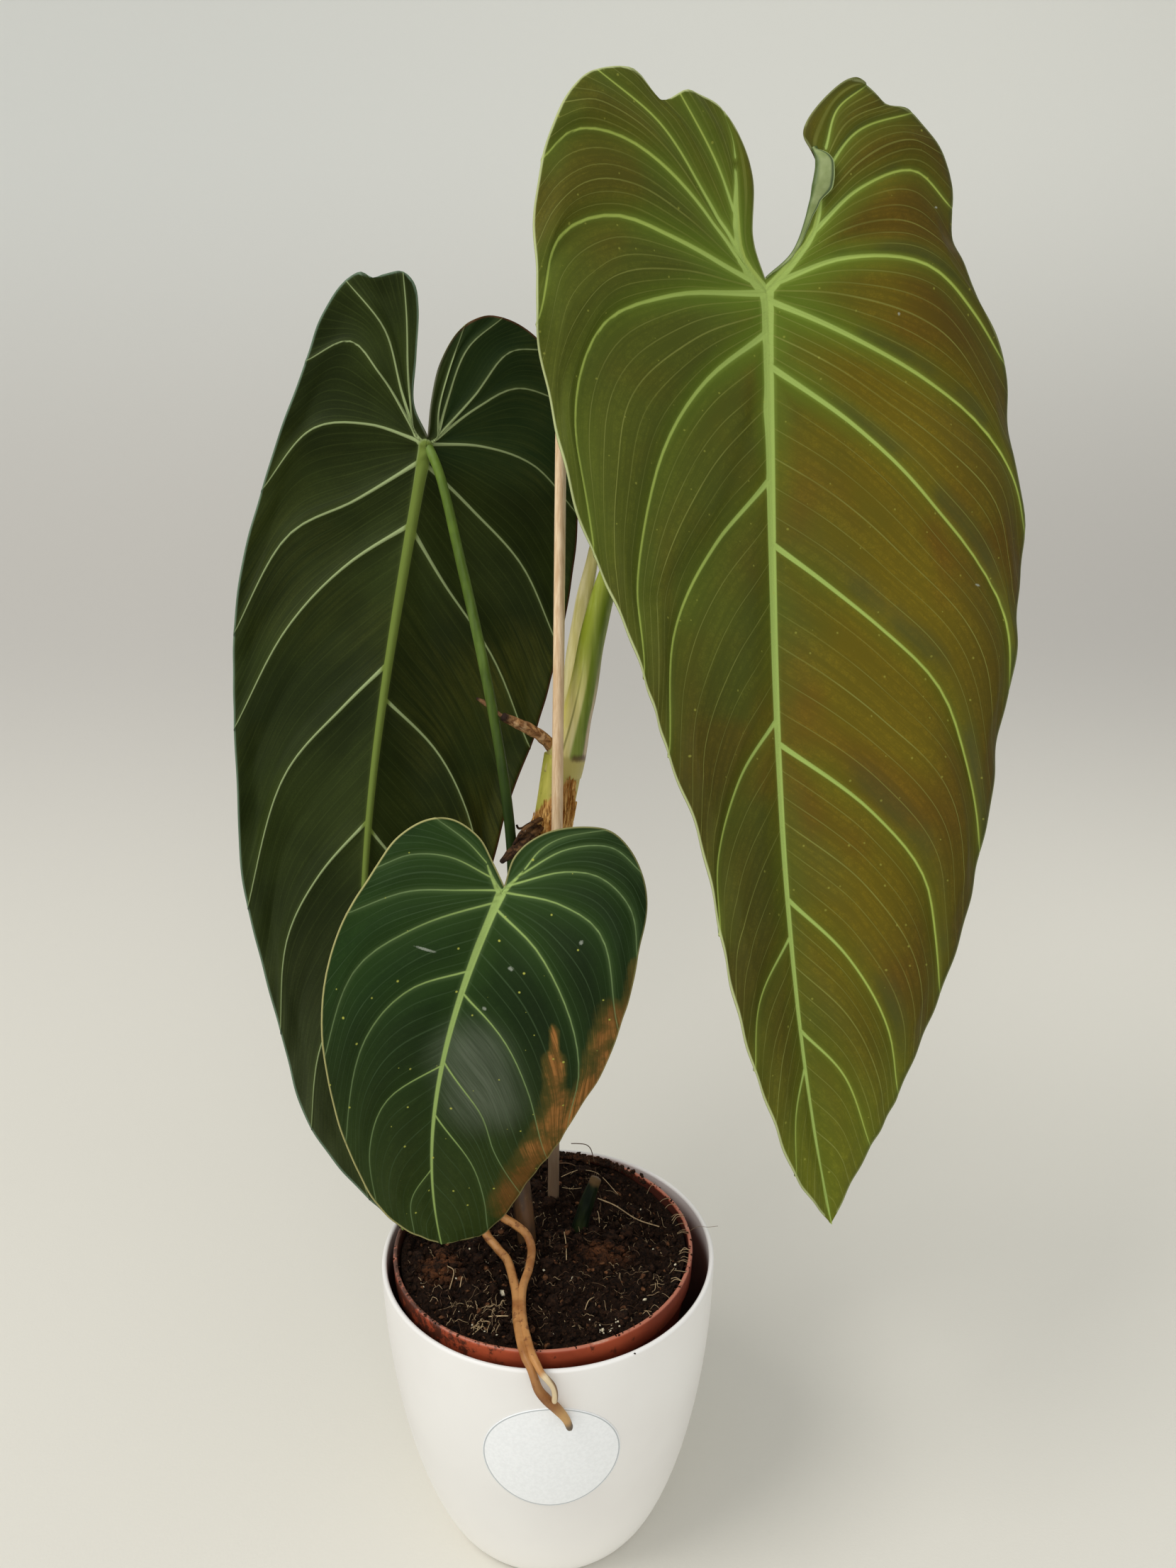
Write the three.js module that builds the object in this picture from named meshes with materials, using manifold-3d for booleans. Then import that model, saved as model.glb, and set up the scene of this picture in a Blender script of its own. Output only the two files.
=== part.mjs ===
// Potted Philodendron melanochrysum with three leaves, held by a bamboo stake.
// A terracotta-coloured nursery pot of peat soil stands in a white cover pot.
// Millimetres, +Z up. The origin is the centre of the cover pot's flat base.
import * as THREE from "three";
import { mergeVertices } from "three/addons/utils/BufferGeometryUtils.js";
import Module from "manifold-3d";

const wasm = await Module();
wasm.setup();
const { Manifold, Mesh } = wasm;

// Driving dimensions
const GAP = 0.3; // clearance between neighbouring pieces
const SMALLEST_DETAIL = 0.01; // slivers below this are merged
const ROUND = 60; // sides of a pot

const COVER_HEIGHT = 120;
const COVER_RIM_R = 66;
const COVER_BASE_R = 42.25;
const COVER_WALL = 2;
const COVER_FLOOR = 3;

const NURSERY_X = -2; // the nursery pot stands slightly off centre
const NURSERY_RIM_R = 59.5;
const NURSERY_RIM_Z = 122.5;
const NURSERY_COLLAR = 10; // height of the thick band below the rim
const NURSERY_STEP = 1.6; // the wall steps in below that band
const NURSERY_BASE_R = 40;
const NURSERY_WALL = 1.5;
const NURSERY_FLOOR = 1.8;
const DRAIN_HOLES = 6;
const DRAIN_R = 4;
const DRAIN_CIRCLE_R = 27;

const SOIL_TOP = 119; // level of the soil where it isn't heaped up
const STAKE_TOP = 478;
const STAKE_FOOT = 14;
const STAKE_R_LOW = 2.45;
const STAKE_R_HIGH = 2.1;
const BLADE_THICKNESS = 0.8;
const LOBE_ROWS = 8; // rows on each side of a basal lobe's spine, alike so that they meet
const MIDRIB_START = 2.5; // the raised midrib starts this far below the petiole's joint

const LABEL_R = 25;
const LABEL_Z = 79;
const LABEL_X = 2.6;
const LABEL_THICKNESS = 0.4;

// Solids and meshes
const vector = (point) => new THREE.Vector3(...point);

function toSolid(geometry) {
  const plain = geometry.clone();
  plain.deleteAttribute("normal");
  plain.deleteAttribute("uv");
  const welded = mergeVertices(plain, 1e-3);
  const corners = welded.index.array;
  const faces = [];
  for (let i = 0; i < corners.length; i += 3) {
    const [a, b, c] = corners.slice(i, i + 3);
    if (a !== b && b !== c && c !== a) faces.push(a, b, c);
  }
  return new Manifold(new Mesh({
    numProp: 3,
    vertProperties: Float32Array.from(welded.attributes.position.array),
    triVerts: Uint32Array.from(faces),
  }));
}

function toGeometry(solid) {
  const mesh = solid.asOriginal().simplify(SMALLEST_DETAIL).getMesh();
  const geometry = new THREE.BufferGeometry();
  geometry.setAttribute("position", new THREE.BufferAttribute(mesh.vertProperties, 3));
  geometry.setIndex(new THREE.BufferAttribute(mesh.triVerts, 1));
  geometry.computeVertexNormals();
  return geometry;
}

function turned(profile, sides = ROUND) {
  const points = profile.map(([radius, height]) => new THREE.Vector2(radius, height));
  return new THREE.LatheGeometry(points, sides).rotateX(Math.PI / 2);
}

// A round rod along a curve, its radius given from 0 at its foot to 1 at its tip.
// It is a lathed rod whose axis is bent; squash flattens it across the curve.
function rod(path, radiusAt, { sides = 12, steps = 24, squash = 1, grow = 0 } = {}) {
  const curve = new THREE.CatmullRomCurve3(path.map(vector));
  const frames = curve.computeFrenetFrames(steps, false);
  const profile = [new THREE.Vector2(0, 0)];
  for (let i = 0; i <= steps; i += 1) {
    profile.push(new THREE.Vector2(radiusAt(i / steps) + grow, i));
  }
  profile.push(new THREE.Vector2(0, steps));
  const geometry = new THREE.LatheGeometry(profile, sides);
  const position = geometry.attributes.position;
  for (let v = 0; v < position.count; v += 1) {
    const step = position.getY(v);
    const end = step === 0 ? -grow : step === steps ? grow : 0;
    const place = curve.getPointAt(step / steps)
      .addScaledVector(frames.tangents[step], end)
      .addScaledVector(frames.binormals[step], position.getX(v))
      .addScaledVector(frames.normals[step], position.getZ(v) * squash);
    position.setXYZ(v, place.x, place.y, place.z);
  }
  return toSolid(geometry);
}

// A radius that eases between equally spaced values.
const eased = (...values) => (t) => {
  const place = t * (values.length - 1);
  const low = Math.min(Math.floor(place), values.length - 2);
  return THREE.MathUtils.lerp(values[low], values[low + 1], THREE.MathUtils.smoothstep(place - low, 0, 1));
};

// Leaf blades. Flat leaf coordinates run along the midrib from the petiole's joint,
// and across it to the right as the face that the midrib's facing gives is seen.
function bladeSurface(leaf) {
  const [node, first, second, tip] = leaf.midrib.map(vector);
  const midrib = new THREE.CubicBezierCurve3(node, first, second, tip);
  const start = first.clone().sub(node).multiplyScalar(3);
  const facing = vector(leaf.facing).normalize();
  return (along, across) => {
    const t = along / leaf.length;
    const inside = THREE.MathUtils.clamp(t, 0, 1);
    const tangent = midrib.getTangent(inside);
    const up = facing.clone().addScaledVector(tangent, -facing.dot(tangent)).normalize();
    const side = up.clone().cross(tangent).applyAxisAngle(tangent, leaf.roll);
    up.applyAxisAngle(tangent, leaf.roll);
    const rise = (across < 0 ? leaf.foldLeft : leaf.foldRight) * Math.abs(across);
    const phase = leaf.ripplePhase + (across > 0 ? 1.3 : 0);
    const ripple = leaf.ripple * (across / 60) ** 2
      * Math.sin((2 * Math.PI * along) / leaf.rippleLength + phase);
    return midrib.getPoint(inside)
      .addScaledVector(start, Math.min(t, 0))
      .addScaledVector(side, across)
      .addScaledVector(up, rise - leaf.droop * across ** 2 + ripple);
  };
}

// One half of a blade: rows run from a spine to the margin. The spine goes from the
// joint into the basal lobe, back to the joint, and down the midrib to the tip.
function halfBladeRows(leaf, half, columns) {
  const margin = new THREE.SplineCurve(half.outline.map(([a, b]) => new THREE.Vector2(a, b)));
  const last = half.outline.length - 1;
  margin.arcLengthDivisions = 20 * last;
  const lengths = margin.getLengths();
  const reached = (index) => lengths[20 * index] / lengths[20 * last];
  const joint = new THREE.Vector2(0, 0);
  const lobe = new THREE.Vector2(...half.lobe);
  const tip = new THREE.Vector2(leaf.length, 0);
  const stretches = [
    { from: 0, to: half.lobeTop, spine: [joint, lobe], rows: LOBE_ROWS },
    { from: half.lobeTop, to: half.shoulder, spine: [lobe, joint], rows: LOBE_ROWS },
    { from: half.shoulder, to: last, spine: [joint, tip], rows: leaf.rows },
  ];
  const surface = bladeSurface(leaf);
  const rows = [];
  for (const { from, to, spine, rows: count } of stretches) {
    for (let i = rows.length ? 1 : 0; i <= count; i += 1) {
      const inner = spine[0].clone().lerp(spine[1], i / count);
      const outer = margin.getPointAt(THREE.MathUtils.lerp(reached(from), reached(to), i / count));
      const row = [];
      for (let k = 0; k <= columns; k += 1) {
        const flat = inner.clone().lerp(outer, k / columns);
        row.push(surface(flat.x, flat.y));
      }
      rows.push(row);
    }
  }
  return rows;
}

// Both halves welded into one sheet, then given a thickness with the same triangles
// on both faces and a narrow wall round the margin.
function bladeSolid(leaf, columns = 5) {
  const points = [];
  const corners = [];
  for (const [half, turn] of [[leaf.left, 1], [leaf.right, 0]]) {
    const rows = halfBladeRows(leaf, half, columns);
    const base = points.length / 3;
    rows.flat().forEach((point) => points.push(point.x, point.y, point.z));
    for (let i = 0; i + 1 < rows.length; i += 1) {
      for (let k = 0; k < columns; k += 1) {
        const a = base + i * (columns + 1) + k;
        const [b, c, d] = [a + 1, a + columns + 2, a + columns + 1];
        corners.push(...(turn ? [a, b, c, a, c, d] : [a, c, b, a, d, c]));
      }
    }
  }
  const loose = new THREE.BufferGeometry();
  loose.setAttribute("position", new THREE.Float32BufferAttribute(points, 3));
  loose.setIndex(corners);
  const sheet = mergeVertices(loose, 1e-2);
  const faces = [];
  const joined = sheet.index.array;
  for (let i = 0; i < joined.length; i += 3) {
    const [a, b, c] = joined.slice(i, i + 3);
    if (a !== b && b !== c && c !== a) faces.push([a, b, c]);
  }
  sheet.setIndex(faces.flat());
  sheet.computeVertexNormals();

  const { position, normal } = sheet.attributes;
  const count = position.count;
  const shell = new Float32Array(count * 6);
  for (let v = 0; v < count; v += 1) {
    const centre = new THREE.Vector3().fromBufferAttribute(position, v);
    const out = new THREE.Vector3().fromBufferAttribute(normal, v);
    centre.clone().addScaledVector(out, BLADE_THICKNESS / 2).toArray(shell, 3 * v);
    centre.clone().addScaledVector(out, -BLADE_THICKNESS / 2).toArray(shell, 3 * (v + count));
  }
  const edges = new Set();
  faces.forEach(([a, b, c]) => [[a, b], [b, c], [c, a]].forEach(([p, q]) => edges.add(`${p} ${q}`)));
  const triangles = [];
  for (const [a, b, c] of faces) {
    triangles.push(a, b, c, c + count, b + count, a + count);
    for (const [p, q] of [[a, b], [b, c], [c, a]]) {
      if (!edges.has(`${q} ${p}`)) triangles.push(q, p, p + count, q, p + count, q + count);
    }
  }
  const closed = new THREE.BufferGeometry();
  closed.setAttribute("position", new THREE.BufferAttribute(shell, 3));
  closed.setIndex(triangles);
  return toSolid(closed);
}

// The raised midrib, on the side of the blade away from its upper face.
function midribSolid(leaf, radiusAt) {
  const surface = bladeSurface(leaf);
  const points = [];
  const [first, last] = [MIDRIB_START, leaf.length * 0.985];
  for (let i = 0; i <= 8; i += 1) points.push(surface(THREE.MathUtils.lerp(first, last, i / 8), 0));
  return rod(points, radiusAt, { sides: 6, steps: 16 });
}

// Cover pot: a rounded taper, closed by a flat base
const coverRadius = (z) => {
  const drop = 1 - z / COVER_HEIGHT;
  return COVER_BASE_R + (COVER_RIM_R - COVER_BASE_R) * (1 - drop ** 1.97) ** 0.752;
};

function coverPot() {
  const outside = [0, 1, 3, 7, 13, 22, 34, 50, 70, 94, COVER_HEIGHT - 1];
  const inside = [COVER_HEIGHT - 1, 94, 66, 42, 24, 12, COVER_FLOOR + 1.5];
  const profile = [[0, 0]];
  outside.forEach((z) => profile.push([coverRadius(z), z]));
  profile.push([COVER_RIM_R - 0.6, COVER_HEIGHT], [COVER_RIM_R - 1.4, COVER_HEIGHT]);
  inside.forEach((z) => profile.push([coverRadius(z) - COVER_WALL, z]));
  profile.push([coverRadius(COVER_FLOOR) - COVER_WALL - 1.5, COVER_FLOOR], [0, COVER_FLOOR]);
  return toSolid(turned(profile));
}

// Nursery pot: a tapered cup with a thick band at its rim and drain holes
const nurseryBase = COVER_FLOOR + GAP;
const collarZ = NURSERY_RIM_Z - NURSERY_COLLAR;
const nurseryRadius = (z) => THREE.MathUtils.mapLinear(
  z, nurseryBase, collarZ, NURSERY_BASE_R, NURSERY_RIM_R - NURSERY_STEP);

function nurseryPot() {
  const floorZ = nurseryBase + NURSERY_FLOOR;
  const body = turned([
    [0, nurseryBase],
    [NURSERY_BASE_R - 1, nurseryBase],
    [NURSERY_BASE_R, nurseryBase + 1],
    [nurseryRadius(60), 60],
    [nurseryRadius(collarZ), collarZ],
    [NURSERY_RIM_R - 0.4, collarZ + 0.6],
    [NURSERY_RIM_R, NURSERY_RIM_Z - 1.2],
    [NURSERY_RIM_R - 0.7, NURSERY_RIM_Z],
    [NURSERY_RIM_R - 1.7, NURSERY_RIM_Z],
    [NURSERY_RIM_R - 2.2, NURSERY_RIM_Z - 0.8],
    [nurseryRadius(collarZ) - NURSERY_WALL, collarZ - 1],
    [nurseryRadius(60) - NURSERY_WALL, 60],
    [nurseryRadius(floorZ) - NURSERY_WALL, floorZ],
    [0, floorZ],
  ]);
  let pot = toSolid(body);
  for (let i = 0; i < DRAIN_HOLES; i += 1) {
    const angle = (2 * Math.PI * i) / DRAIN_HOLES;
    const hole = new THREE.CylinderGeometry(DRAIN_R, DRAIN_R, 20, 16).rotateX(Math.PI / 2)
      .translate(DRAIN_CIRCLE_R * Math.cos(angle), DRAIN_CIRCLE_R * Math.sin(angle), nurseryBase);
    pot = pot.subtract(toSolid(hole));
  }
  return pot.translate([NURSERY_X, 0, 0]);
}

// Stems, in the order in which they are cut clear of each other
const stakeAt = (z) => [1 + 0.0147 * (z - SOIL_TOP), 31.6 + 0.105 * (z - SOIL_TOP), z];
const stake = (grow = 0) => rod(
  [stakeAt(STAKE_FOOT), stakeAt(250), stakeAt(STAKE_TOP)],
  (t) => THREE.MathUtils.lerp(STAKE_R_LOW, STAKE_R_HIGH, t),
  { sides: 14, steps: 10, grow });

const STEM_PATH = [
  [-6, 2, 70], [-9, 6, 119], [-13, 18, 150], [-12, 34, 195], [-7, 49, 240], [1.6, 60.5, 282], [6, 64, 306],
];
const stemRadius = (t) => {
  const girth = eased(3, 3.6, 4.4, 5, 5.6, 6.6, 6.8)(t);
  const rings = [0.32, 0.52, 0.68, 0.86]; // nodes where leaves grow or have grown
  return girth + rings.reduce((sum, ring) => sum + 0.9 * Math.exp(-(((t - ring) / 0.012) ** 2)), 0);
};
const stem = (grow = 0) => rod(STEM_PATH, stemRadius, { sides: 12, steps: 40, grow });

const STUB_PATH = [[12, 11.5, 100], [15.2, 14.4, 119], [17.3, 16.6, 134], [18.1, 17.4, 141]];
const cutStub = (grow = 0) => rod(STUB_PATH, eased(3.2, 3, 2.5, 1.7), { sides: 12, steps: 12, grow });

// The three leaves. Each outline runs from the notch between the lobes round to the tip.
const LARGE_LEAF = {
  midrib: [[78, 48, 479], [84, 33, 370], [75, -38, 278], [100, -52, 170]],
  length: 326,
  facing: [0, -1, 0.35],
  roll: -0.314,
  foldLeft: 0.3,
  foldRight: 0.22,
  droop: 0.0012,
  ripple: 1.1,
  rippleLength: 62,
  ripplePhase: 0.4,
  rows: 22,
  left: {
    outline: [
      [-5, 0], [-17, -5], [-36, -4], [-47, -8], [-56, -16], [-60, -30], [-56, -40], [-63, -52], [-59, -68],
      [-45, -80], [-22, -87], [0, -89], [21, -90], [42, -86], [63, -83], [84, -78], [101, -70], [120, -62],
      [141, -54], [165, -45], [190, -35], [223, -29], [250, -25], [278, -18], [304, -11], [326, 0],
    ],
    lobe: [-36, -40],
    lobeTop: 6,
    shoulder: 12,
  },
  right: {
    outline: [
      [-5, 0], [-13, 10], [-26, 16], [-42, 20], [-52, 15], [-64, 24], [-69, 34], [-61, 44], [-59, 53],
      [-41, 70], [-17, 72], [2, 80], [22, 94], [54, 94], [85, 101], [112, 94], [138, 90], [168, 82],
      [194, 74], [219, 68], [246, 54], [271, 41], [292, 27], [312, 11], [326, 0],
    ],
    lobe: [-36, 42],
    lobeTop: 7,
    shoulder: 12,
  },
};
const SMALL_LEAF = {
  midrib: [[-14, -25, 282], [-34, -38, 240], [-46, -31, 190], [-39, -27, 142]],
  length: 145,
  facing: [0, -1, 0.45],
  roll: -0.209,
  foldLeft: 0.22,
  foldRight: 0.18,
  droop: 0.0018,
  ripple: 1.2,
  rippleLength: 48,
  ripplePhase: 0,
  rows: 14,
  left: {
    outline: [
      [-3, 0], [-9, -7], [-15, -15], [-17, -26], [-13, -34], [-4, -40], [9, -43], [24, -46], [41, -46],
      [57, -43], [73, -38], [88, -33], [103, -27], [118, -21], [131, -13], [145, 0],
    ],
    lobe: [-8, -22],
    lobeTop: 3,
    shoulder: 6,
  },
  right: {
    outline: [
      [-3, 0], [-14, -1], [-25, 5], [-33, 17], [-35, 26], [-30, 37], [-18, 47], [-2, 51], [18, 55], [40, 56],
      [62, 54], [83, 49], [102, 43], [121, 34], [136, 25], [145, 14], [145, 0],
    ],
    lobe: [-14, 22],
    lobeTop: 4,
    shoulder: 8,
  },
};
const LEFT_LEAF = {
  midrib: [[-47, 76, 427], [-70, 81, 325], [-88, 17, 228], [-57, -6, 132]],
  length: 312,
  facing: [0, -1, 0.3],
  roll: -0.209,
  foldLeft: -0.2,
  foldRight: -0.26,
  droop: -0.0012,
  ripple: 1.2,
  rippleLength: 70,
  ripplePhase: 1,
  rows: 18,
  left: {
    outline: [
      [-4, 0], [-14, -7], [-31, -9], [-48, -11], [-57, -17], [-56, -28], [-50, -39], [-37, -46], [-17, -50],
      [6, -55], [30, -59], [55, -62], [85, -61], [114, -57], [142, -52], [172, -48], [205, -39], [233, -32],
      [260, -27], [283, -17], [300, -7], [312, 0],
    ],
    lobe: [-34, -26],
    lobeTop: 5,
    shoulder: 9,
  },
  right: {
    outline: [
      [-4, 0], [-17, -1], [-31, 0], [-44, 5], [-51, 14], [-51, 26], [-46, 37], [-34, 48], [-17, 57], [3, 63],
      [26, 68], [52, 69], [80, 68], [106, 65], [132, 58], [160, 53], [190, 48], [222, 41], [252, 32],
      [282, 21], [301, 10], [312, 0],
    ],
    lobe: [-28, 26],
    lobeTop: 5,
    shoulder: 9,
  },
};

const LARGE_PETIOLE = [[5, 63.5, 299], [9.3, 63.5, 315], [14, 63, 335], [18, 63, 357], [25, 62.5, 381],
  [43, 61, 412], [62, 56, 447], [79, 46.6, 480.6]];
const LEFT_PETIOLE = [[-11, 38, 207], [-13.5, 43, 240], [-14.8, 44, 276], [-18, 47.5, 306], [-25, 55, 346],
  [-34, 63, 387], [-41.5, 71, 417], [-47.6, 77.6, 430]];
const SMALL_PETIOLE = [[-13, 22, 160], [-15, 4, 188], [-15.5, -10, 226], [-15.5, -16, 262], [-14, -26.2, 283.4]];
const largePetiole = (grow = 0) => rod(
  LARGE_PETIOLE, eased(8.2, 5.6, 5, 4.4, 3.8, 3.2, 2.8, 2.2), { sides: 10, steps: 24, grow });
const leftPetiole = (grow = 0) => rod(
  LEFT_PETIOLE, eased(3.6, 2.6, 2.1, 2, 2, 1.9, 1.8), { sides: 8, steps: 24, grow });
const smallPetiole = (grow = 0) => rod(
  SMALL_PETIOLE, eased(3.2, 2.2, 1.9, 1.8, 1.6), { sides: 8, steps: 14, grow });

const leafWithPetiole = (leaf, midribRadius, petiole, clearOf) => {
  let whole = Manifold.union([bladeSolid(leaf), midribSolid(leaf, midribRadius), petiole]);
  clearOf.forEach((neighbour) => { whole = whole.subtract(neighbour); });
  return whole;
};

// A folded sheath beside the large leaf's petiole, which holds the next leaf
const budSheath = () => rod(
  [[4.6, 67, 301], [6.8, 68, 320], [10.3, 69.5, 345], [14.8, 70, 371], [19.4, 70, 392], [23.5, 70, 408]],
  eased(3.2, 4.6, 4.6, 4.2, 3, 0.8), { sides: 12, steps: 20, squash: 0.62 })
  .subtract(largePetiole(GAP)).subtract(stem(GAP));

const stubRod = (grow = 0) => rod(
  [[-1, 59, 279], [-6, 48, 279], [-12, 37.5, 276], [-18, 29.5, 272.5]],
  eased(3, 2.8, 2.4, 1.5), { sides: 10, steps: 12, squash: 0.75, grow });

// Dry skin left on the stem's upper stretch by an old sheath, ragged at its top
function drySheath() {
  const sleeve = rod([[-3.4, 54.5, 260], [0.1, 59, 276], [2.8, 61.6, 286], [5.2, 63.4, 299]],
    () => 8.5, { sides: 18, steps: 8 });
  let skin = sleeve.subtract(Manifold.union([stem(GAP), largePetiole(GAP), stubRod(GAP)]));
  const cutters = [
    new THREE.BoxGeometry(14, 30, 60).rotateY(-0.3).translate(-7.9, 60, 280),
    new THREE.BoxGeometry(40, 30, 20).rotateY(0.75).translate(14.6, 60, 308),
    new THREE.BoxGeometry(50, 16, 60).translate(0, 74, 280),
  ];
  cutters.forEach((cutter) => { skin = skin.subtract(toSolid(cutter)); });
  return skin.decompose().sort((one, two) => two.volume() - one.volume())[0];
}

// Dead stubs on the stem
const deadRoot = () => rod(
  [[3, 65, 306], [-1, 61.5, 313], [-8, 56, 319.5], [-16, 50, 325]],
  eased(2.6, 2.8, 2.6, 1.2), { sides: 10, steps: 12, squash: 0.8 })
  .subtract(stem(GAP)).subtract(largePetiole(GAP));
const dryStub = () => stubRod().subtract(stem(GAP)).subtract(leftPetiole(GAP));

// Two aerial roots that come off the stem, cross the soil, twine and hang over both rims
function aerialRoots() {
  const left = [[-13, 16, 143], [-20, 8, 140], [-25.5, 0, 128], [-20, -7, 124.3], [-15.8, -13, 123.8],
    [-12.6, -24.7, 123.8], [-11, -33, 124], [-9.8, -46, 124.6], [-7.8, -57.5, 125.4], [-5.9, -64.3, 124.2],
    [-4.2, -68.6, 120.6], [-2.4, -69.6, 116.6], [0.4, -70, 112.3], [4.6, -70.2, 107.8], [9.6, -69.6, 98.8]];
  const right = [[-11, 15, 139], [-18, 6, 135.5], [-18.5, 2.6, 132], [-13.7, -0.5, 130.5], [-8.9, -3.5, 128.3],
    [-6.5, -8.4, 126], [-6.7, -18.3, 125], [-8.6, -28, 124.4], [-8.8, -36, 124.6], [-7.8, -47, 125.3],
    [-5.6, -57.5, 126], [-3.4, -64.5, 125.2], [-1.4, -69.4, 121.4], [1.8, -71, 118.6], [4.2, -71, 114],
    [5, -70.6, 108.6]];
  const thick = (t) => (t > 0.93 ? THREE.MathUtils.lerp(1.7, 0.9, (t - 0.93) / 0.07) : 1.6);
  return Manifold.union([
    rod(left, thick, { sides: 6, steps: 44 }),
    rod(right, (t) => (t > 0.86 ? 1.3 : 1.6), { sides: 6, steps: 44 }),
  ]).subtract(stem(GAP));
}

// Soil: fills the nursery pot, heaped at the back, with plain holes for what stands in it
function soilHeight(x, y) {
  const heap = (cx, cy, height, spread) => height * Math.exp(-((x - cx) ** 2 + (y - cy) ** 2) / spread ** 2);
  return SOIL_TOP + heap(8, 54, 8.5, 19) + heap(-30, 40, 3, 16) - heap(44, 22, 3.5, 18)
    + heap(22, -8, 1.6, 14) - heap(-8, -30, 1.2, 18) + 0.5 * Math.sin(x / 5.1 + y / 9) * Math.cos(y / 6.3);
}

function soil() {
  const low = nurseryBase + NURSERY_FLOOR + GAP;
  const inner = (z) => nurseryRadius(z) - NURSERY_WALL - GAP;
  const collarInner = NURSERY_RIM_R - 2.2 - 2 * GAP;
  const rings = [0.92, 0.83, 0.73, 0.62, 0.5, 0.38, 0.25, 0.12];
  const profile = [[0, low], [inner(low), low], [inner(60), 60], [inner(collarZ - 2), collarZ - 2],
    [collarInner - 0.6, SOIL_TOP - 3], [collarInner, SOIL_TOP]];
  rings.forEach((part) => profile.push([part * collarInner, SOIL_TOP]));
  profile.push([0, SOIL_TOP]);
  const body = turned(profile, 48);
  const position = body.attributes.position;
  for (let v = 0; v < position.count; v += 1) {
    if (position.getZ(v) < SOIL_TOP - 1) continue;
    position.setZ(v, soilHeight(position.getX(v), position.getY(v)));
  }
  let heap = toSolid(body).translate([NURSERY_X, 0, 0]);
  [stem(GAP), stake(GAP), cutStub(GAP), aerialRoots()].forEach((piece) => { heap = heap.subtract(piece); });
  return heap;
}

// Round sticker on the cover pot's front, left blank
function blankLabel() {
  const heights = [52, 62, 72, 82, 94, 106];
  const skin = (offset) => heights.map((z) => [coverRadius(z) + offset, z]);
  const shell = [...skin(GAP + LABEL_THICKNESS), ...skin(GAP).reverse()];
  const band = toSolid(turned([...shell, shell[0]]));
  const disc = new THREE.CylinderGeometry(LABEL_R, LABEL_R, 60, 48).translate(LABEL_X, -60, LABEL_Z);
  return band.intersect(toSolid(disc));
}

// Materials
const finish = (color, roughness, metalness = 0) => new THREE.MeshStandardMaterial({ color, roughness, metalness });
const materials = {
  coverPlastic: finish(0xece7df, 0.55),
  terracottaPlastic: finish(0x7d3a22, 0.6),
  peat: finish(0x1d130d, 0.95),
  bamboo: finish(0xc9a27a, 0.6),
  stemSkin: finish(0x7f8130, 0.5),
  largeLeaf: finish(0x4e4d1e, 0.5),
  leftLeaf: finish(0x2e331a, 0.55),
  smallLeaf: finish(0x263f26, 0.45),
  sheath: finish(0xa59a5c, 0.6),
  drySkin: finish(0x6b4317, 0.85),
  deadRoot: finish(0x70452c, 0.85),
  root: finish(0xa9743a, 0.55),
  stub: finish(0x1f2a1c, 0.6),
  paper: finish(0xe9ebec, 0.5),
};

const plant = new THREE.Group();
function add(name, solid, material) {
  const mesh = new THREE.Mesh(toGeometry(solid), material);
  mesh.name = name;
  plant.add(mesh);
}

add("cover_pot", coverPot(), materials.coverPlastic);
add("nursery_pot", nurseryPot(), materials.terracottaPlastic);
add("soil", soil(), materials.peat);
add("stake", stake(), materials.bamboo);
add("main_stem", stem(), materials.stemSkin);
add("large_leaf", leafWithPetiole(LARGE_LEAF, eased(2.3, 1.7, 1.2, 0.7), largePetiole(), [stem(GAP)]),
  materials.largeLeaf);
add("left_leaf", leafWithPetiole(LEFT_LEAF, eased(2, 1.5, 1.1, 0.7), leftPetiole(), [stem(GAP)]),
  materials.leftLeaf);
add("small_leaf", leafWithPetiole(SMALL_LEAF, eased(1.6, 1.2, 0.9, 0.6), smallPetiole(), [stem(GAP)]),
  materials.smallLeaf);
add("bud_sheath", budSheath(), materials.sheath);
add("dry_sheath", drySheath(), materials.drySkin);
add("dead_root", deadRoot(), materials.deadRoot);
add("dry_stub", dryStub(), materials.drySkin);
add("aerial_roots", aerialRoots(), materials.root);
add("cut_petiole", cutStub(), materials.stub);
add("blank_label", blankLabel(), materials.paper);

export default plant;
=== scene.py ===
"""The looks of a potted Philodendron melanochrysum: three velvety leaves, a climbing stem beside
a bamboo stake, aerial roots, and peat in a terracotta-coloured pot inside a white cover pot.
Shapes are worked out in millimetres, in the CAD model's frame, and stored in metres."""
import math
import random

import bmesh
import bpy
import numpy as np
from mathutils import Matrix, Vector, noise


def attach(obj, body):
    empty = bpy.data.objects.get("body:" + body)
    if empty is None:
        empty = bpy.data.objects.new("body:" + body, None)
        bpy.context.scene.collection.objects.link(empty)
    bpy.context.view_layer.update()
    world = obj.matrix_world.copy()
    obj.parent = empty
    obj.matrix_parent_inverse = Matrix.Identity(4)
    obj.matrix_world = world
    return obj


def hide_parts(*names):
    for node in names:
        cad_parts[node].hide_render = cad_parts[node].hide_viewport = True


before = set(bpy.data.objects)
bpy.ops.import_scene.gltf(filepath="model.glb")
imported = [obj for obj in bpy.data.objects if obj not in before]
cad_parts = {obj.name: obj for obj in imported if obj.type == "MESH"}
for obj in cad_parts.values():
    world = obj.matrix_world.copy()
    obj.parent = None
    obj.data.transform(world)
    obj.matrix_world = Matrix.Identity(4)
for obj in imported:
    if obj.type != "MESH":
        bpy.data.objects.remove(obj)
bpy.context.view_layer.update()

MM = 0.001
BODY = "root"

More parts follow.
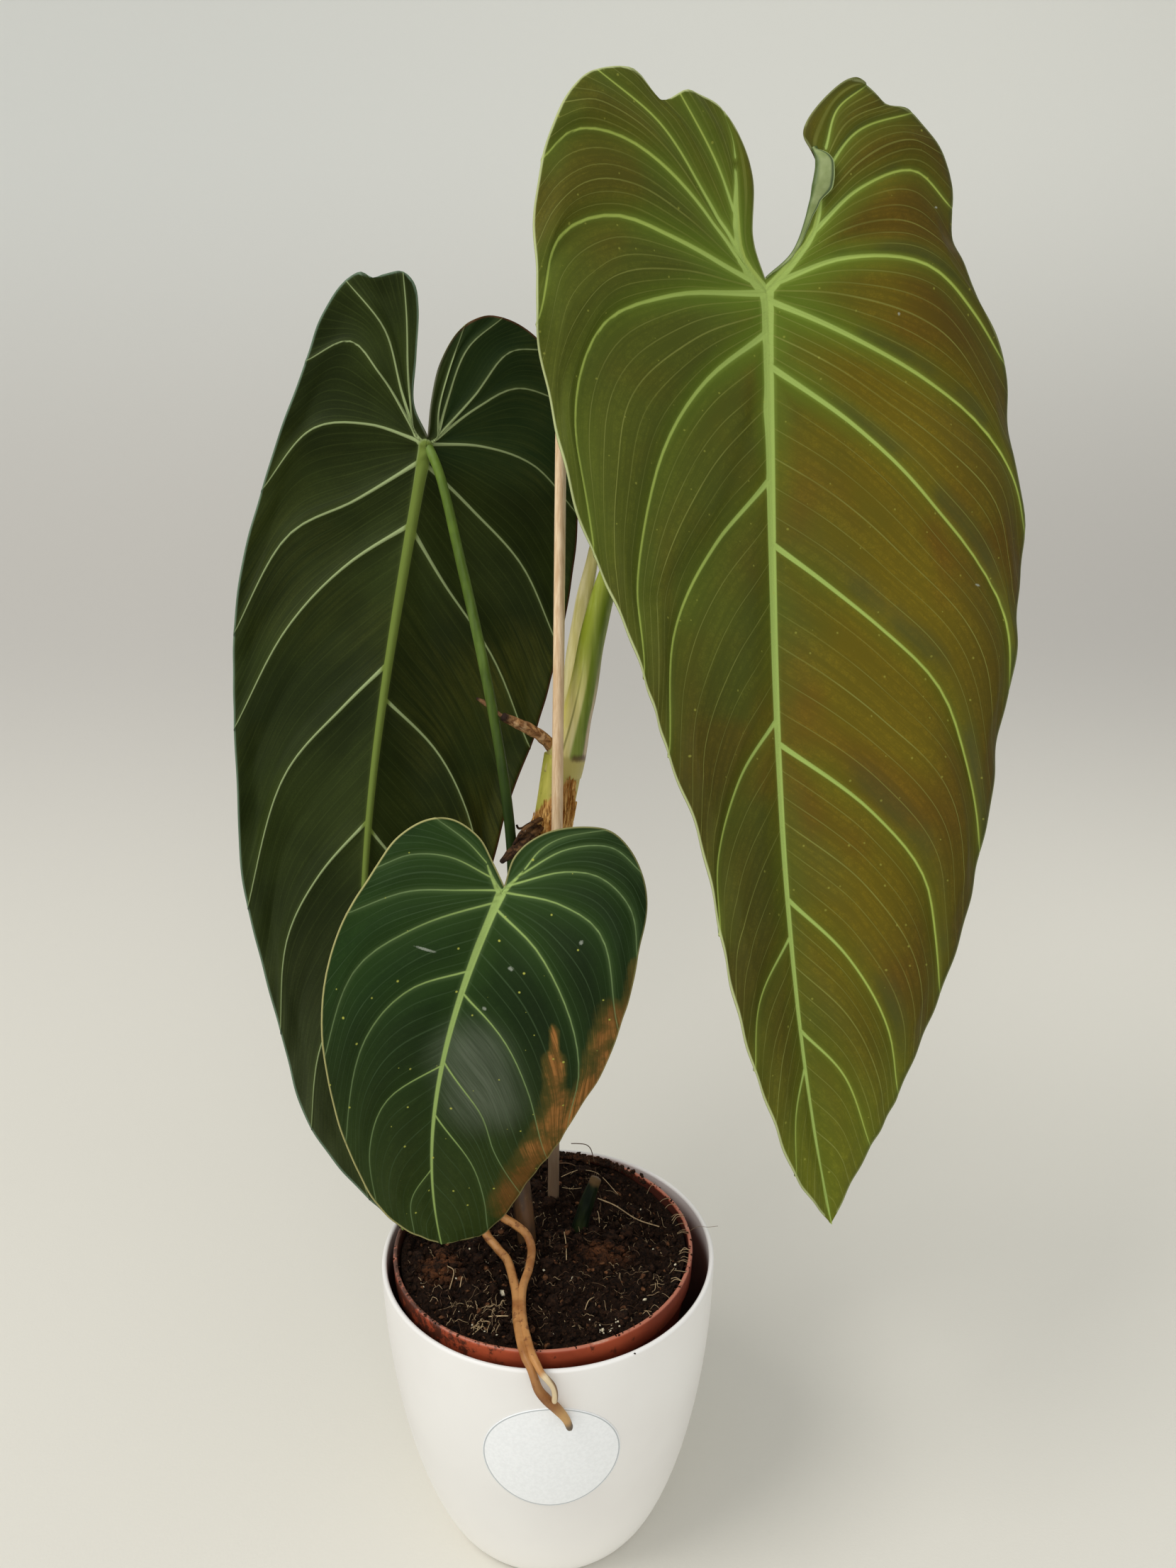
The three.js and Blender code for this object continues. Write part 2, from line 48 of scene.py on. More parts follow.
# Pots and soil, the same driving dimensions as the solids
COVER_HEIGHT = 120
COVER_RIM_R = 66
COVER_BASE_R = 42.25
COVER_WALL = 2
COVER_FLOOR = 3
NURSERY_X = -2
NURSERY_RIM_R = 59.5
NURSERY_RIM_Z = 122.5
NURSERY_COLLAR_Z = 112.5
NURSERY_STEP = 1.6
NURSERY_BASE_R = 40
NURSERY_BASE_Z = 3.3
NURSERY_WALL = 1.5
NURSERY_FLOOR = 1.8
SOIL_TOP = 119
SOIL_R = 56.7
LABEL_R, LABEL_X, LABEL_Z = 25, 2.6, 79
BLADE_THICKNESS = 0.5

# The photograph's view: a pinhole at this point, in millimetres, looking down at this angle
EYE = (15.8, -397.8, 434.8)
LOOK_DOWN = 16.96
LENS = 27.03
SENSOR = 36


# Curves and meshes
def unit(v):
    return v / np.maximum(np.linalg.norm(v, axis=-1, keepdims=True), 1e-12)


def spline(points, count):
    """Evenly spaced places on a centripetal Catmull-Rom curve through the points."""
    p = np.array(points, float)
    if len(p) == 2:
        return p[0] + (p[1] - p[0]) * np.linspace(0, 1, count)[:, None]
    p = np.vstack([2 * p[0] - p[1], p, 2 * p[-1] - p[-2]])
    knots = np.concatenate([[0], np.cumsum(steps_of(p) ** 0.5)])
    pieces = []
    for i in range(1, len(p) - 2):
        t = np.linspace(knots[i], knots[i + 1], 24)[:, None]
        t0, t1, t2, t3 = knots[i - 1:i + 3]
        a1 = (t1 - t) / (t1 - t0) * p[i - 1] + (t - t0) / (t1 - t0) * p[i]
        a2 = (t2 - t) / (t2 - t1) * p[i] + (t - t1) / (t2 - t1) * p[i + 1]
        a3 = (t3 - t) / (t3 - t2) * p[i + 1] + (t - t2) / (t3 - t2) * p[i + 2]
        b1 = (t2 - t) / (t2 - t0) * a1 + (t - t0) / (t2 - t0) * a2
        b2 = (t3 - t) / (t3 - t1) * a2 + (t - t1) / (t3 - t1) * a3
        pieces.append((t2 - t) / (t2 - t1) * b1 + (t - t1) / (t2 - t1) * b2)
    return resampled(np.vstack(pieces), np.linspace(0, 1, count))


def steps_of(line):
    """Distances from each point of a line to the next."""
    return np.linalg.norm(np.diff(line, axis=0), axis=1)


def reach_along(line):
    """How far along a line each of its points is."""
    return np.concatenate([[0], np.cumsum(steps_of(line))])


def resampled(line, parts):
    """Places at the given parts of a line's length."""
    reach = reach_along(line)
    return np.stack([np.interp(parts, reach / max(reach[-1], 1e-9), axis) for axis in line.T], axis=-1)


def eased(*values):
    """A function from 0 to 1 that eases between equally spaced values."""
    values = np.array(values, float)

    def at(t):
        place = np.clip(t, 0, 1) * (len(values) - 1)
        low = np.minimum(place.astype(int), len(values) - 2)
        part = place - low
        part = part * part * (3 - 2 * part)
        return values[low] * (1 - part) + values[low + 1] * part
    return at


def round_turn(sides):
    """Evenly spaced angles of a full turn."""
    return np.linspace(0, 2 * math.pi, sides, endpoint=False)


def polar(turn, away):
    return away * math.cos(turn), away * math.sin(turn)


def piece(name, points, faces, materials, node, slot, marks=None, kinds=None, uv=None):
    """A mesh that replaces a CAD node. It has points in millimetres, faces as arrays of triangles
    or quads, and marks, which are values at each point that the materials read. kinds numbers each
    face's material, and uv gives each point's place in the OFBake UV map."""
    mesh = bpy.data.meshes.new(name)
    sizes = np.concatenate([np.full(len(block), block.shape[1]) for block in faces])
    corners = np.concatenate([block.ravel() for block in faces])
    mesh.vertices.add(len(points))
    mesh.vertices.foreach_set("co", (points * MM).ravel())
    mesh.loops.add(len(corners))
    mesh.loops.foreach_set("vertex_index", corners)
    mesh.polygons.add(len(sizes))
    mesh.polygons.foreach_set("loop_start", np.concatenate([[0], np.cumsum(sizes)[:-1]]))
    mesh.polygons.foreach_set("use_smooth", np.ones(len(sizes), bool))
    for material in materials:
        mesh.materials.append(material)
    if kinds is not None:
        mesh.polygons.foreach_set("material_index", kinds.astype(np.int32))
    for mark, values in (marks or {}).items():
        mesh.attributes.new(mark, "FLOAT", "POINT").data.foreach_set("value", values.astype(np.float32))
    mesh.update(calc_edges=True)
    if uv is not None:
        mesh.uv_layers.new(name="OFBake").data.foreach_set("uv", uv.astype(np.float32)[corners].ravel())
    mesh.validate()
    thing = bpy.data.objects.new(name, mesh)
    bpy.context.scene.collection.objects.link(thing)
    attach(thing, BODY)
    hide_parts(node)


def grid_faces(rows, columns, closed=False, start=0):
    """Quads of a grid of points stored row by row; closed joins the last column to the first."""
    i, k = np.meshgrid(np.arange(rows - 1), np.arange(columns if closed else columns - 1), indexing="ij")
    nxt = (k + 1) % columns
    quads = [i * columns + k, i * columns + nxt, (i + 1) * columns + nxt, (i + 1) * columns + k]
    return start + np.stack(quads, axis=-1).reshape(-1, 4)


def capped_grid(rows, sides, start=0):
    """Faces of a closed grid, with a fan at each end round the two points that follow the grid's."""
    fans = []
    for end, row in enumerate((0, rows - 1)):
        edge = start + row * sides + np.arange(sides)
        fan = np.stack([edge, np.roll(edge, -1), np.full(sides, start + rows * sides + end)], axis=1)
        fans.append(fan if end else fan[:, [1, 0, 2]])
    return grid_faces(rows, sides, True, start), np.concatenate(fans)


def two_sided(front, count):
    """Faces of a thin sheet: the front's, the same for the back, and a wall along every open edge.
    The front has this many points, and the back's follow them."""
    sides = front.shape[1]
    edges = np.concatenate([front[:, [k, (k + 1) % sides]] for k in range(sides)])
    rim = edges[~np.isin(edges @ [count, 1], edges @ [1, count])]
    wall = np.stack([rim[:, 1], rim[:, 0], rim[:, 0] + count, rim[:, 1] + count], axis=1)
    return [front, front[:, ::-1] + count, wall]


def frames_along(line):
    """Two crosswise directions that don't twist along a line."""
    tangent = unit(np.gradient(line, axis=0))
    side = np.zeros_like(tangent)
    side[0] = unit(np.cross(tangent[0], [0.31, 0.2, 0.93]))
    for i in range(1, len(line)):
        side[i] = unit(side[i - 1] - tangent[i] * (side[i - 1] @ tangent[i]))
    return side, np.cross(tangent, side)


class Tubes:
    """Bent rods gathered into one mesh. Their marks are the part of the way along, how far the
    surface leans east and up, and a number that tells the rods apart."""

    def __init__(self):
        self.points, self.quads, self.fans, self.count = [], [], [], 0
        self.marks = {"way": [], "east": [], "up": [], "which": []}

    def add(self, path, radius, sides=20, steps=80, squash=1.0, shape=None, blunt=0.0, which=0.0):
        """A rod along a curve through the path. The radius is a number or depends on the part of the
        way. squash flattens the rod, shape changes its rings, and blunt rounds its ends."""
        line = spline(path, steps)
        t = np.linspace(0, 1, steps)
        turn = round_turn(sides)
        side, other = frames_along(line)
        girth = np.full(steps, radius(t) if callable(radius) else radius, float)
        if blunt:
            reach = np.linspace(0, steps_of(line).sum(), steps)
            for gap in (reach, reach[-1] - reach):
                close = np.clip(gap / (blunt * girth.max()), 0, 1)
                girth = girth * np.sqrt(1 - (1 - close) ** 2 * 0.999)
        radial = girth[:, None] * np.ones(sides)
        if shape is not None:
            radial = radial * shape(t[:, None], turn[None, :])
        ring = (line[:, None] + side[:, None] * (np.cos(turn) * radial)[..., None]
                + other[:, None] * (np.sin(turn) * radial * squash)[..., None])
        self.points += [ring.reshape(-1, 3), line[[0, -1]]]
        quads, fans = capped_grid(steps, sides, self.count)
        self.quads.append(quads)
        self.fans.append(fans)
        self.marks["way"] += [np.repeat(t, sides), np.array([0, 1.0])]
        for mark, axis in (("east", 0), ("up", 2)):
            leaning = side[:, axis][:, None] * np.cos(turn) + other[:, axis][:, None] * np.sin(turn)
            self.marks[mark] += [leaning.ravel(), np.zeros(2)]
        self.marks["which"].append(np.full(steps * sides + 2, which))
        self.count += steps * sides + 2
        return self

    def finish(self, name, material, node, slot):
        marks = {mark: np.concatenate(values) for mark, values in self.marks.items()}
        faces = [np.concatenate(self.quads), np.concatenate(self.fans)]
        piece(name, np.concatenate(self.points), faces, [material], node, slot, marks)


# Colours and materials
def linear_color(*screen):
    """A screen colour of three numbers from 0 to 255 as a linear colour."""
    parts = [c / 255 for c in screen]
    return (*[c / 12.92 if c <= 0.04045 else ((c + 0.055) / 1.055) ** 2.4 for c in parts], 1)


class Value:
    """An output of a material's node. Sums and products of values make more nodes."""

    def __init__(self, paint, socket):
        self.paint, self.socket = paint, socket

    def __add__(self, other):
        return self.paint.math("ADD", self, other)

    def __sub__(self, other):
        return self.paint.math("SUBTRACT", self, other)

    def __mul__(self, other):
        return self.paint.math("MULTIPLY", self, other)

    def __truediv__(self, other):
        return self.paint.math("DIVIDE", self, other)

    def __abs__(self):
        return self.paint.math("ABSOLUTE", self)

    def band(self, low, high, start=0.0, end=1.0):
        """Runs smoothly from start to end as the value goes from low to high."""
        return self.paint.node("ShaderNodeMapRange", {"Value": self, "From Min": low, "From Max": high,
                                                      "To Min": start, "To Max": end},
                               interpolation_type="SMOOTHSTEP")


class Paint:
    """A procedural material. It has a base colour, over which more colours are laid one by one.
    A colour is a Value or a screen colour of three numbers."""

    def __init__(self, name, roughness, specular):
        self.material = bpy.data.materials.new(name)
        self.material.use_nodes = True
        self.tree = self.material.node_tree
        self.shader = self.tree.nodes["Principled BSDF"]
        self.shader.inputs["Roughness"].default_value = roughness
        self.shader.inputs["Specular IOR Level"].default_value = specular
        self.place = self.node("ShaderNodeTexCoord", output="Object")
        self.base = None

    def plug(self, value, socket):
        if isinstance(value, Value):
            self.tree.links.new(value.socket, socket)
        else:
            socket.default_value = linear_color(*value) if socket.type == "RGBA" else value

    def node(self, kind, values=(), output=0, **settings):
        """Adds a node with its inputs and settings, and gives one of its outputs."""
        made = self.tree.nodes.new(kind)
        for key, value in settings.items():
            setattr(made, key, value)
        for key, value in (values.items() if isinstance(values, dict) else enumerate(values)):
            self.plug(value, made.inputs[key])
        return Value(self, made.outputs[output])

    def mark(self, name):
        return self.node("ShaderNodeAttribute", output="Fac", attribute_name=name)

    def axis(self, number):
        return self.node("ShaderNodeSeparateXYZ", [self.place], number)

    def math(self, operation, *values):
        return self.node("ShaderNodeMath", values, operation=operation)

    def noise(self, scale, detail=3.0, rough=0.5, stretch=None, distort=0.0, at=None):
        at = at or self.place
        if stretch:
            at = self.node("ShaderNodeMapping", {"Vector": at, "Scale": stretch})
        return self.node("ShaderNodeTexNoise", {"Vector": at, "Scale": scale, "Detail": detail,
                                                "Roughness": rough, "Distortion": distort})

    def mix(self, part, one, other, blend="MIX"):
        return self.node("ShaderNodeMix", {0: part, 6: one, 7: other}, 2, data_type="RGBA",
                         blend_type=blend, clamp_factor=True)

    def lay(self, part, color):
        """Covers a part of the base, from 0 to 1, with a colour."""
        self.base = self.mix(part, self.base, color)

    def darken(self, shade, streaks, low, high, grain, strength):
        """Multiplies the base by a shade, between the streaks and in the grain's hollows."""
        dark = self.mix(1.0, self.base, shade, "MULTIPLY")
        self.base = self.mix(streaks.band(low, high), dark, self.base)
        self.lay(grain.band(0.35, 0.65, strength, 0), dark)
        return dark

    def dots(self, spacing, radius, share):
        """Small dots on a blade, this far apart and this large in mm, in a share of the cells."""
        flat = self.node("ShaderNodeCombineXYZ", [self.mark("down"), self.mark("across")])
        away, color = [self.node("ShaderNodeTexVoronoi", {"Vector": flat, "Scale": 1 / spacing}, output,
                                 voronoi_dimensions="2D") for output in ("Distance", "Color")]
        chosen = self.node("ShaderNodeSeparateColor", [color])
        size = chosen.band(1 - share, 1, 0, radius / spacing)
        return (away - size).band(-0.3 / spacing, 0.1 / spacing, 1, 0)

    def spot(self, down, across, tall, wide):
        """A ragged oval mark on a blade, at flat coordinates and with half sizes in mm."""
        first, second = [self.math("POWER", (self.mark(name) - middle) / size, 2)
                         for name, middle, size in (("down", down, tall), ("across", across, wide))]
        return (first + second + self.noise(1500, 2, 0.6) * 1.6).band(0.8, 1.9, 1, 0)

    def done(self, height, depth, strength, roughness=None):
        """The finished material, with a bump this deep in metres. roughness is a Value."""
        bump = self.node("ShaderNodeBump", {"Height": height, "Distance": depth, "Strength": strength})
        for name, value in (("Base Color", self.base), ("Normal", bump), ("Roughness", roughness)):
            if value:
                self.plug(value, self.shader.inputs[name])
        return self.material


# Leaves. Flat leaf coordinates run along the midrib from the petiole's joint, and across it to
# the right. Outlines go from the notch between the lobes round to the tip. A vein's first point
# is on the midrib or on the trunk, the thick vein into the lobe; its last is on the outline.
# The midrib is a Bezier curve of four places. facing is where the blade's face looks, and upper is 1
# where that is the upper face. roll is in degrees, fold is each half's slope, and ripple is a height,
# a wave length and a start. row and columns set how fine the mesh is, and girth scales the relief.
LARGE_LEAF = {
    "midrib": [(78, 48, 479), (84, 33, 370), (75, -38, 278), (100, -52, 170)],
    "length": 326, "facing": (0, -1, 0.35), "roll": 18, "fold": (0.3, 0.22), "droop": 0.0012,
    "ripple": (1.1, 62, 0.4), "upper": 1, "row": 1.7, "columns": 44, "girth": 1.0,
    "creases": [[(-58, -41), (-42, -31), (-24, -18)], [(-17, 73), (-22, 52), (-18, 30)],
                [(40, -6), (84, -24), (112, -48)]],
    "curl": [(-5, 0.5), (-13, 10), (-26, 16), (-42, 20), (-47, 18)],
    "curl_width": (0, 0.5, 0.8, 1.1, 1.5, 2.6, 5.6, 5, 0.4),
    "halves": [
        {"trunk": [(0, 0), (-6, -7), (-12, -11), (-28, -12), (-42, -12)],
         "outline": [(-5, 0), (-17, -5), (-36, -4), (-47, -8), (-56, -16), (-60, -30), (-56, -40), (-63, -52),
                     (-59, -68), (-45, -80), (-22, -87), (0, -89), (21, -90), (42, -86), (63, -83), (84, -78),
                     (101, -70), (120, -62), (141, -54), (165, -45), (190, -35), (223, -29), (250, -25),
                     (278, -18), (304, -11), (326, 0)],
         "veins": [[(-42, -12), (-48, -13), (-56, -16)], [(-24, -12), (-38, -19), (-59, -34)],
                   [(-11, -10), (-27, -22), (-48, -42), (-60, -64)],
                   [(-6, -7), (-28, -30), (-42, -55), (-42, -74), (-33, -84)],
                   [(-2, -3), (-14, -38), (-19, -61), (-11, -80), (20, -90)],
                   [(0, 0), (5, -41), (18, -67), (54, -77), (100, -70)],
                   [(13, 0), (33, -27), (65, -47), (107, -55), (140, -54)],
                   [(64, 0), (92, -25), (127, -43), (165, -45)],
                   [(150, 0), (172, -18), (198, -28), (222, -29)],
                   [(225, 0), (245, -16), (266, -21)], [(270, 0), (285, -7), (304, -11)]]},
        {"trunk": [(0, 0), (-9, 9), (-20, 18), (-33, 21), (-47, 23)],
         "outline": [(-5, 0), (-13, 10), (-26, 16), (-42, 20), (-52, 15), (-64, 24), (-69, 34), (-61, 44),
                     (-59, 53), (-41, 70), (-17, 72), (2, 80), (22, 94), (54, 94), (85, 101), (112, 94),
                     (138, 90), (168, 82), (194, 74), (219, 68), (246, 54), (271, 41), (292, 27), (312, 11),
                     (326, 0)],
         "veins": [[(-47, 23), (-59, 27), (-67, 38)], [(-38, 22), (-52, 34), (-58, 54)],
                   [(-20, 18), (-34, 35), (-40, 56), (-28, 72)],
                   [(-3, 3), (-11, 29), (-9, 59), (5, 77), (22, 94)],
                   [(2, 0), (14, 29), (29, 61), (45, 84), (80, 100)],
                   [(24, 0), (47, 34), (70, 59), (100, 86), (138, 90)],
                   [(87, 0), (117, 39), (144, 65), (200, 73)],
                   [(158, 0), (183, 32), (210, 51), (252, 51)],
                   [(212, 0), (235, 20), (263, 31), (286, 31)], [(257, 0), (275, 13), (303, 19)]]},
    ],
}
SMALL_LEAF = {
    "midrib": [(-14, -25, 282), (-34, -38, 240), (-46, -31, 190), (-39, -27, 142)],
    "length": 145, "facing": (0, -1, 0.45), "roll": 12, "fold": (0.22, 0.18), "droop": 0.0018,
    "ripple": (1.2, 48, 0), "upper": 1, "row": 1.1, "columns": 36, "girth": 0.62,
    "creases": [[(20, 4), (60, 14), (92, 22)]],
    "scorch": [([(4, 54), (18, 56), (34, 56)], 1.7), ([(26, 52), (42, 53), (58, 54), (74, 53)], 2.6),
               ([(64, 53), (82, 50), (92, 46)], 2.6), ([(40, 34), (54, 38)], 0.7),
               ([(52, 37), (72, 42)], 1.6), ([(70, 42), (90, 42)], 2.4),
               ([(88, 43), (102, 38), (116, 32), (130, 27)], 3.2)],
    # A painted sheen: a grey patch standing in for light reflected off the velvet.
    "painted_sheen": [([(60, 9), (68, 13), (77, 16)], 9)],
    "halves": [
        {"trunk": [(0, 0), (-4, -5), (-8, -9)],
         "outline": [(-3, 0), (-9, -7), (-15, -15), (-17, -26), (-13, -34), (-4, -40), (9, -43), (24, -46),
                     (41, -46), (57, -43), (73, -38), (88, -33), (103, -27), (118, -21), (131, -13),
                     (145, 0)],
         "veins": [[(-8, -9), (-12, -18), (-15, -31)], [(-4, -5), (-5, -21), (-1, -33), (7, -42)],
                   [(-1, -1), (4, -14), (10, -30), (22, -45)], [(3, 0), (20, -23), (37, -37), (66, -40)],
                   [(29, 0), (40, -18), (58, -28), (95, -30)], [(66, 0), (79, -17), (96, -22), (119, -20)],
                   [(110, 0), (121, -8), (136, -9)]]},
        {"trunk": [(0, 0), (-5, 2), (-11, 4)],
         "outline": [(-3, 0), (-14, -1), (-25, 5), (-33, 17), (-35, 26), (-30, 37), (-18, 47), (-2, 51),
                     (18, 55), (40, 56), (62, 54), (83, 49), (102, 43), (121, 34), (136, 25), (145, 14),
                     (145, 0)],
         "veins": [[(-11, 4), (-19, 6), (-26, 11), (-34, 24)], [(-8, 3), (-23, 14), (-30, 28), (-26, 41)],
                   [(-4, 2), (-16, 17), (-19, 29), (-13, 43), (2, 52)],
                   [(-1, 0), (-5, 20), (-1, 37), (34, 56)],
                   [(5, 0), (14, 20), (34, 38), (57, 47), (88, 48)], [(37, 0), (51, 19), (70, 31), (106, 42)],
                   [(64, 0), (84, 16), (101, 22), (126, 32)], [(86, 0), (107, 14), (125, 18), (142, 17)]]},
    ],
}
LEFT_LEAF = {
    "midrib": [(-47, 76, 427), (-70, 81, 325), (-88, 17, 228), (-57, -6, 132)],
    "length": 312, "facing": (0, -1, 0.3), "roll": 12, "fold": (-0.2, -0.26), "droop": -0.0012,
    "ripple": (1.2, 70, 1.0), "upper": -1, "row": 1.7, "columns": 40, "girth": 0.92,
    "creases": [[(-56, -30), (-42, -27), (-24, -22)]],
    "halves": [
        {"trunk": [(0, 0), (-3, -4), (-6, -6)],
         "outline": [(-4, 0), (-14, -7), (-31, -9), (-48, -11), (-56, -14), (-59, -19), (-56.5, -25.5),
                     (-54.5, -29), (-55.5, -34), (-50, -40), (-37, -46), (-17, -50), (6, -55), (30, -59),
                     (55, -62), (85, -61), (114, -57), (142, -52), (172, -48), (205, -39), (233, -32),
                     (260, -27), (283, -17), (300, -7), (312, 0)],
         "veins": [[(-6, -6), (-25, -11), (-45, -15), (-57, -19)],
                   [(-5, -5), (-17, -12), (-38, -22), (-51, -38)],
                   [(-3, -4), (-22, -21), (-31, -34), (-20, -49)], [(-1, -2), (-3, -23), (3, -43), (30, -59)],
                   [(5, 0), (26, -23), (44, -46), (85, -61)], [(30, 0), (52, -23), (79, -41), (120, -56)],
                   [(86, 0), (106, -15), (134, -34), (185, -45)],
                   [(149, 0), (172, -18), (195, -29), (230, -33)],
                   [(210, 0), (235, -17), (266, -25)], [(262, 0), (279, -9), (297, -9)]]},
        {"trunk": [(0, 0), (-2, 2), (-4, 4)],
         "outline": [(-4, 0), (-17, -1), (-31, 0), (-44, 5), (-51, 14), (-51, 26), (-46, 37), (-34, 48),
                     (-17, 57), (3, 63), (26, 68), (52, 69), (80, 68), (106, 65), (132, 58), (160, 53),
                     (190, 48), (222, 41), (252, 32), (282, 21), (301, 10), (312, 0)],
         "veins": [[(-4, 4), (-14, 2.5), (-28, 3.5), (-45, 7)], [(-3.6, 3.6), (-17, 5), (-38, 9), (-51, 20)],
                   [(-3, 3), (-22, 15), (-40, 25), (-44, 39)],
                   [(-2, 2), (-18, 17), (-28, 31), (-26, 52)], [(-1, 1), (-4, 22), (-1, 43), (14, 66)],
                   [(6, 0), (20, 22), (38, 47), (68, 69)], [(32, 0), (49, 15), (78, 43), (112, 64)],
                   [(100, 0), (118, 24), (141, 39), (175, 50)], [(152, 0), (172, 18), (196, 32), (224, 41)],
                   [(200, 0), (218, 14), (240, 25), (263, 28)], [(245, 0), (262, 11), (291, 16)]]},
    ],
}

# How finely a blade's margin and trunk are drawn, how its columns crowd towards the spine, the least gap
# between its rows in mm, and how finely its halves are welded.
MARGIN_POINTS = 1200
TRUNK_POINTS = 60
COLUMN_POWER = 1.3
LEAST_ROW_GAP = 0.33
WELDS_PER_MM = 200


def blade_places(leaf, along, across):
    """Places on the bent blade, as the solids have it, for arrays of flat leaf coordinates."""
    t = along / leaf["length"]
    s = np.clip(t, 0, 1)[..., None]
    node, first, second, tip = np.array(leaf["midrib"], float)
    place = (1 - s) ** 3 * node + 3 * (1 - s) ** 2 * s * first + 3 * (1 - s) * s * s * second + s ** 3 * tip
    place = place + 3 * (first - node) * np.minimum(t, 0)[..., None]
    tangent = unit((1 - s) ** 2 * (first - node) + 2 * (1 - s) * s * (second - first)
                   + s * s * (tip - second))
    facing = unit(np.array(leaf["facing"], float))
    up = unit(facing - (tangent @ facing)[..., None] * tangent)
    side = np.cross(up, tangent)
    turn = math.radians(leaf["roll"])
    up, side = up * math.cos(turn) + side * math.sin(turn), side * math.cos(turn) - up * math.sin(turn)
    size, wave, start = leaf["ripple"]
    fold = np.where(across < 0, leaf["fold"][0], leaf["fold"][1])
    phase = 2 * math.pi * along / wave + start + np.where(across > 0, 1.3, 0)
    height = fold * np.abs(across) - leaf["droop"] * across ** 2 + size * (across / 60) ** 2 * np.sin(phase)
    return place + across[..., None] * side + height[..., None] * up


def blade_normals(leaf, along, across):
    """The direction of the face that the leaf's facing gives. On the midrib both sides are averaged."""
    step = 0.5
    down = blade_places(leaf, along + step, across) - blade_places(leaf, along - step, across)
    over = blade_places(leaf, along, across + step) - blade_places(leaf, along, across - step)
    return unit(np.cross(down, over))


def distance_to(points, line):
    """Least distance of flat points to a line of points."""
    best = np.full(len(points), 1e9)
    for a, b in zip(line[:-1], line[1:]):
        ab = b - a
        t = np.clip(((points - a) @ ab) / max(ab @ ab, 1e-9), 0, 1)
        best = np.minimum(best, np.linalg.norm(points - a - t[:, None] * ab, axis=1))
    return best


def nearest_point(line, point):
    """The number of the line's point that is nearest."""
    return np.argmin(np.linalg.norm(line - np.array(point, float), axis=1))


class HalfBlade:
    """Rows of flat points that follow the veins from the spine (trunk, joint and midrib) to the margin.
    A place on the spine is a distance along the midrib, or a negative one along the trunk."""

    def __init__(self, leaf, half):
        self.leaf, self.columns = leaf, leaf["columns"]
        self.margin = spline(half["outline"], MARGIN_POINTS)
        self.margin_length = steps_of(self.margin).sum()
        self.trunk = spline(half["trunk"], TRUNK_POINTS)
        self.trunk_length = steps_of(self.trunk).sum()
        self.out = (np.arange(self.columns + 1) / self.columns) ** COLUMN_POWER
        self.starts, self.ends, self.lines = [], [], []
        for start, *middle, end in half["veins"]:
            on_trunk = nearest_point(self.trunk, start) / (TRUNK_POINTS - 1) * self.trunk_length
            self.starts.append(start[0] if start[1] == 0 else -on_trunk)
            nearest = nearest_point(self.margin, end)
            self.ends.append(nearest / (MARGIN_POINTS - 1) * self.margin_length)
            route = [self.spine_at(self.starts[-1]), *middle, self.margin[nearest]]
            self.lines.append(resampled(spline(route, 60), self.out))
        self.starts.append(leaf["length"])
        self.ends.append(self.margin_length)
        self.lines.append(np.tile([float(leaf["length"]), 0.0], (self.columns + 1, 1)))

    def spine_at(self, s):
        if s >= 0:
            return np.array([float(s), 0.0])
        return resampled(self.trunk, np.array([-s / self.trunk_length]))[0]

    def margin_at(self, m):
        return resampled(self.margin, np.array([m / self.margin_length]))[0]

    def wanted(self, k):
        """Parts of the way from vein k to the next at which the blade wants rows: evenly spaced
        ones, and two close to each vein for its steep sides."""
        width = np.linalg.norm(self.lines[k + 1][self.columns // 2] - self.lines[k][self.columns // 2])
        edge = max(self.ends[k + 1] - self.ends[k], self.starts[k + 1] - self.starts[k], width)
        parts = set(np.linspace(0, 1, max(2, round(edge / self.leaf["row"]) + 1)))
        for offset in (0.45, 1.0):
            near = offset / max(width, 4)
            parts |= {near, 1 - near}
        return sorted(parts)

    def rows(self, stations):
        """Each row's flat points, and its number in veins. stations are the midrib's."""
        flat, numbers = [], []
        for k, (low, high) in enumerate(zip(self.starts[:-1], self.starts[1:])):
            parts = {0.0}
            if low < 0 or high <= 0:
                parts |= {p for p in self.wanted(k) if low + p * (high - low) <= 0 or low == high}
            if high > max(low, 0):
                parts |= {(s - low) / (high - low) for s in stations if max(low, 0) < s < high}
                if low < 0:
                    parts.add(-low / (high - low))
            parts = [p for p in sorted(parts) if p < 1 - 1e-6]
            if k == len(self.starts) - 2:
                parts.append(1.0)
            for p in parts:
                s = low + p * (high - low)
                s = 0.0 if abs(s) < 1e-6 else s
                m = self.ends[k] + p * (self.ends[k + 1] - self.ends[k])
                row = (1 - p) * self.lines[k] + p * self.lines[k + 1]
                v = self.out[:, None]
                flat.append(row + (1 - v) * (self.spine_at(s) - row[0]) + v * (self.margin_at(m) - row[-1]))
                numbers.append(k + p)
        return np.array(flat), np.array(numbers)


def stations_of(halves):
    """Places along the midrib where both halves have a row, so that they can be joined there."""
    veins = sorted({s for half in halves for s in half.starts if s > 0} | {0.0})
    extra = set()
    for half in halves:
        for k, (low, high) in enumerate(zip(half.starts[:-1], half.starts[1:])):
            if high > max(low, 0):
                extra |= {low + p * (high - low) for p in half.wanted(k) if low + p * (high - low) > 0}
    chosen = list(veins)
    for s in sorted(extra):
        if min(abs(s - c) for c in chosen[-40:] + veins) > LEAST_ROW_GAP:
            chosen.append(s)
    return sorted(chosen)


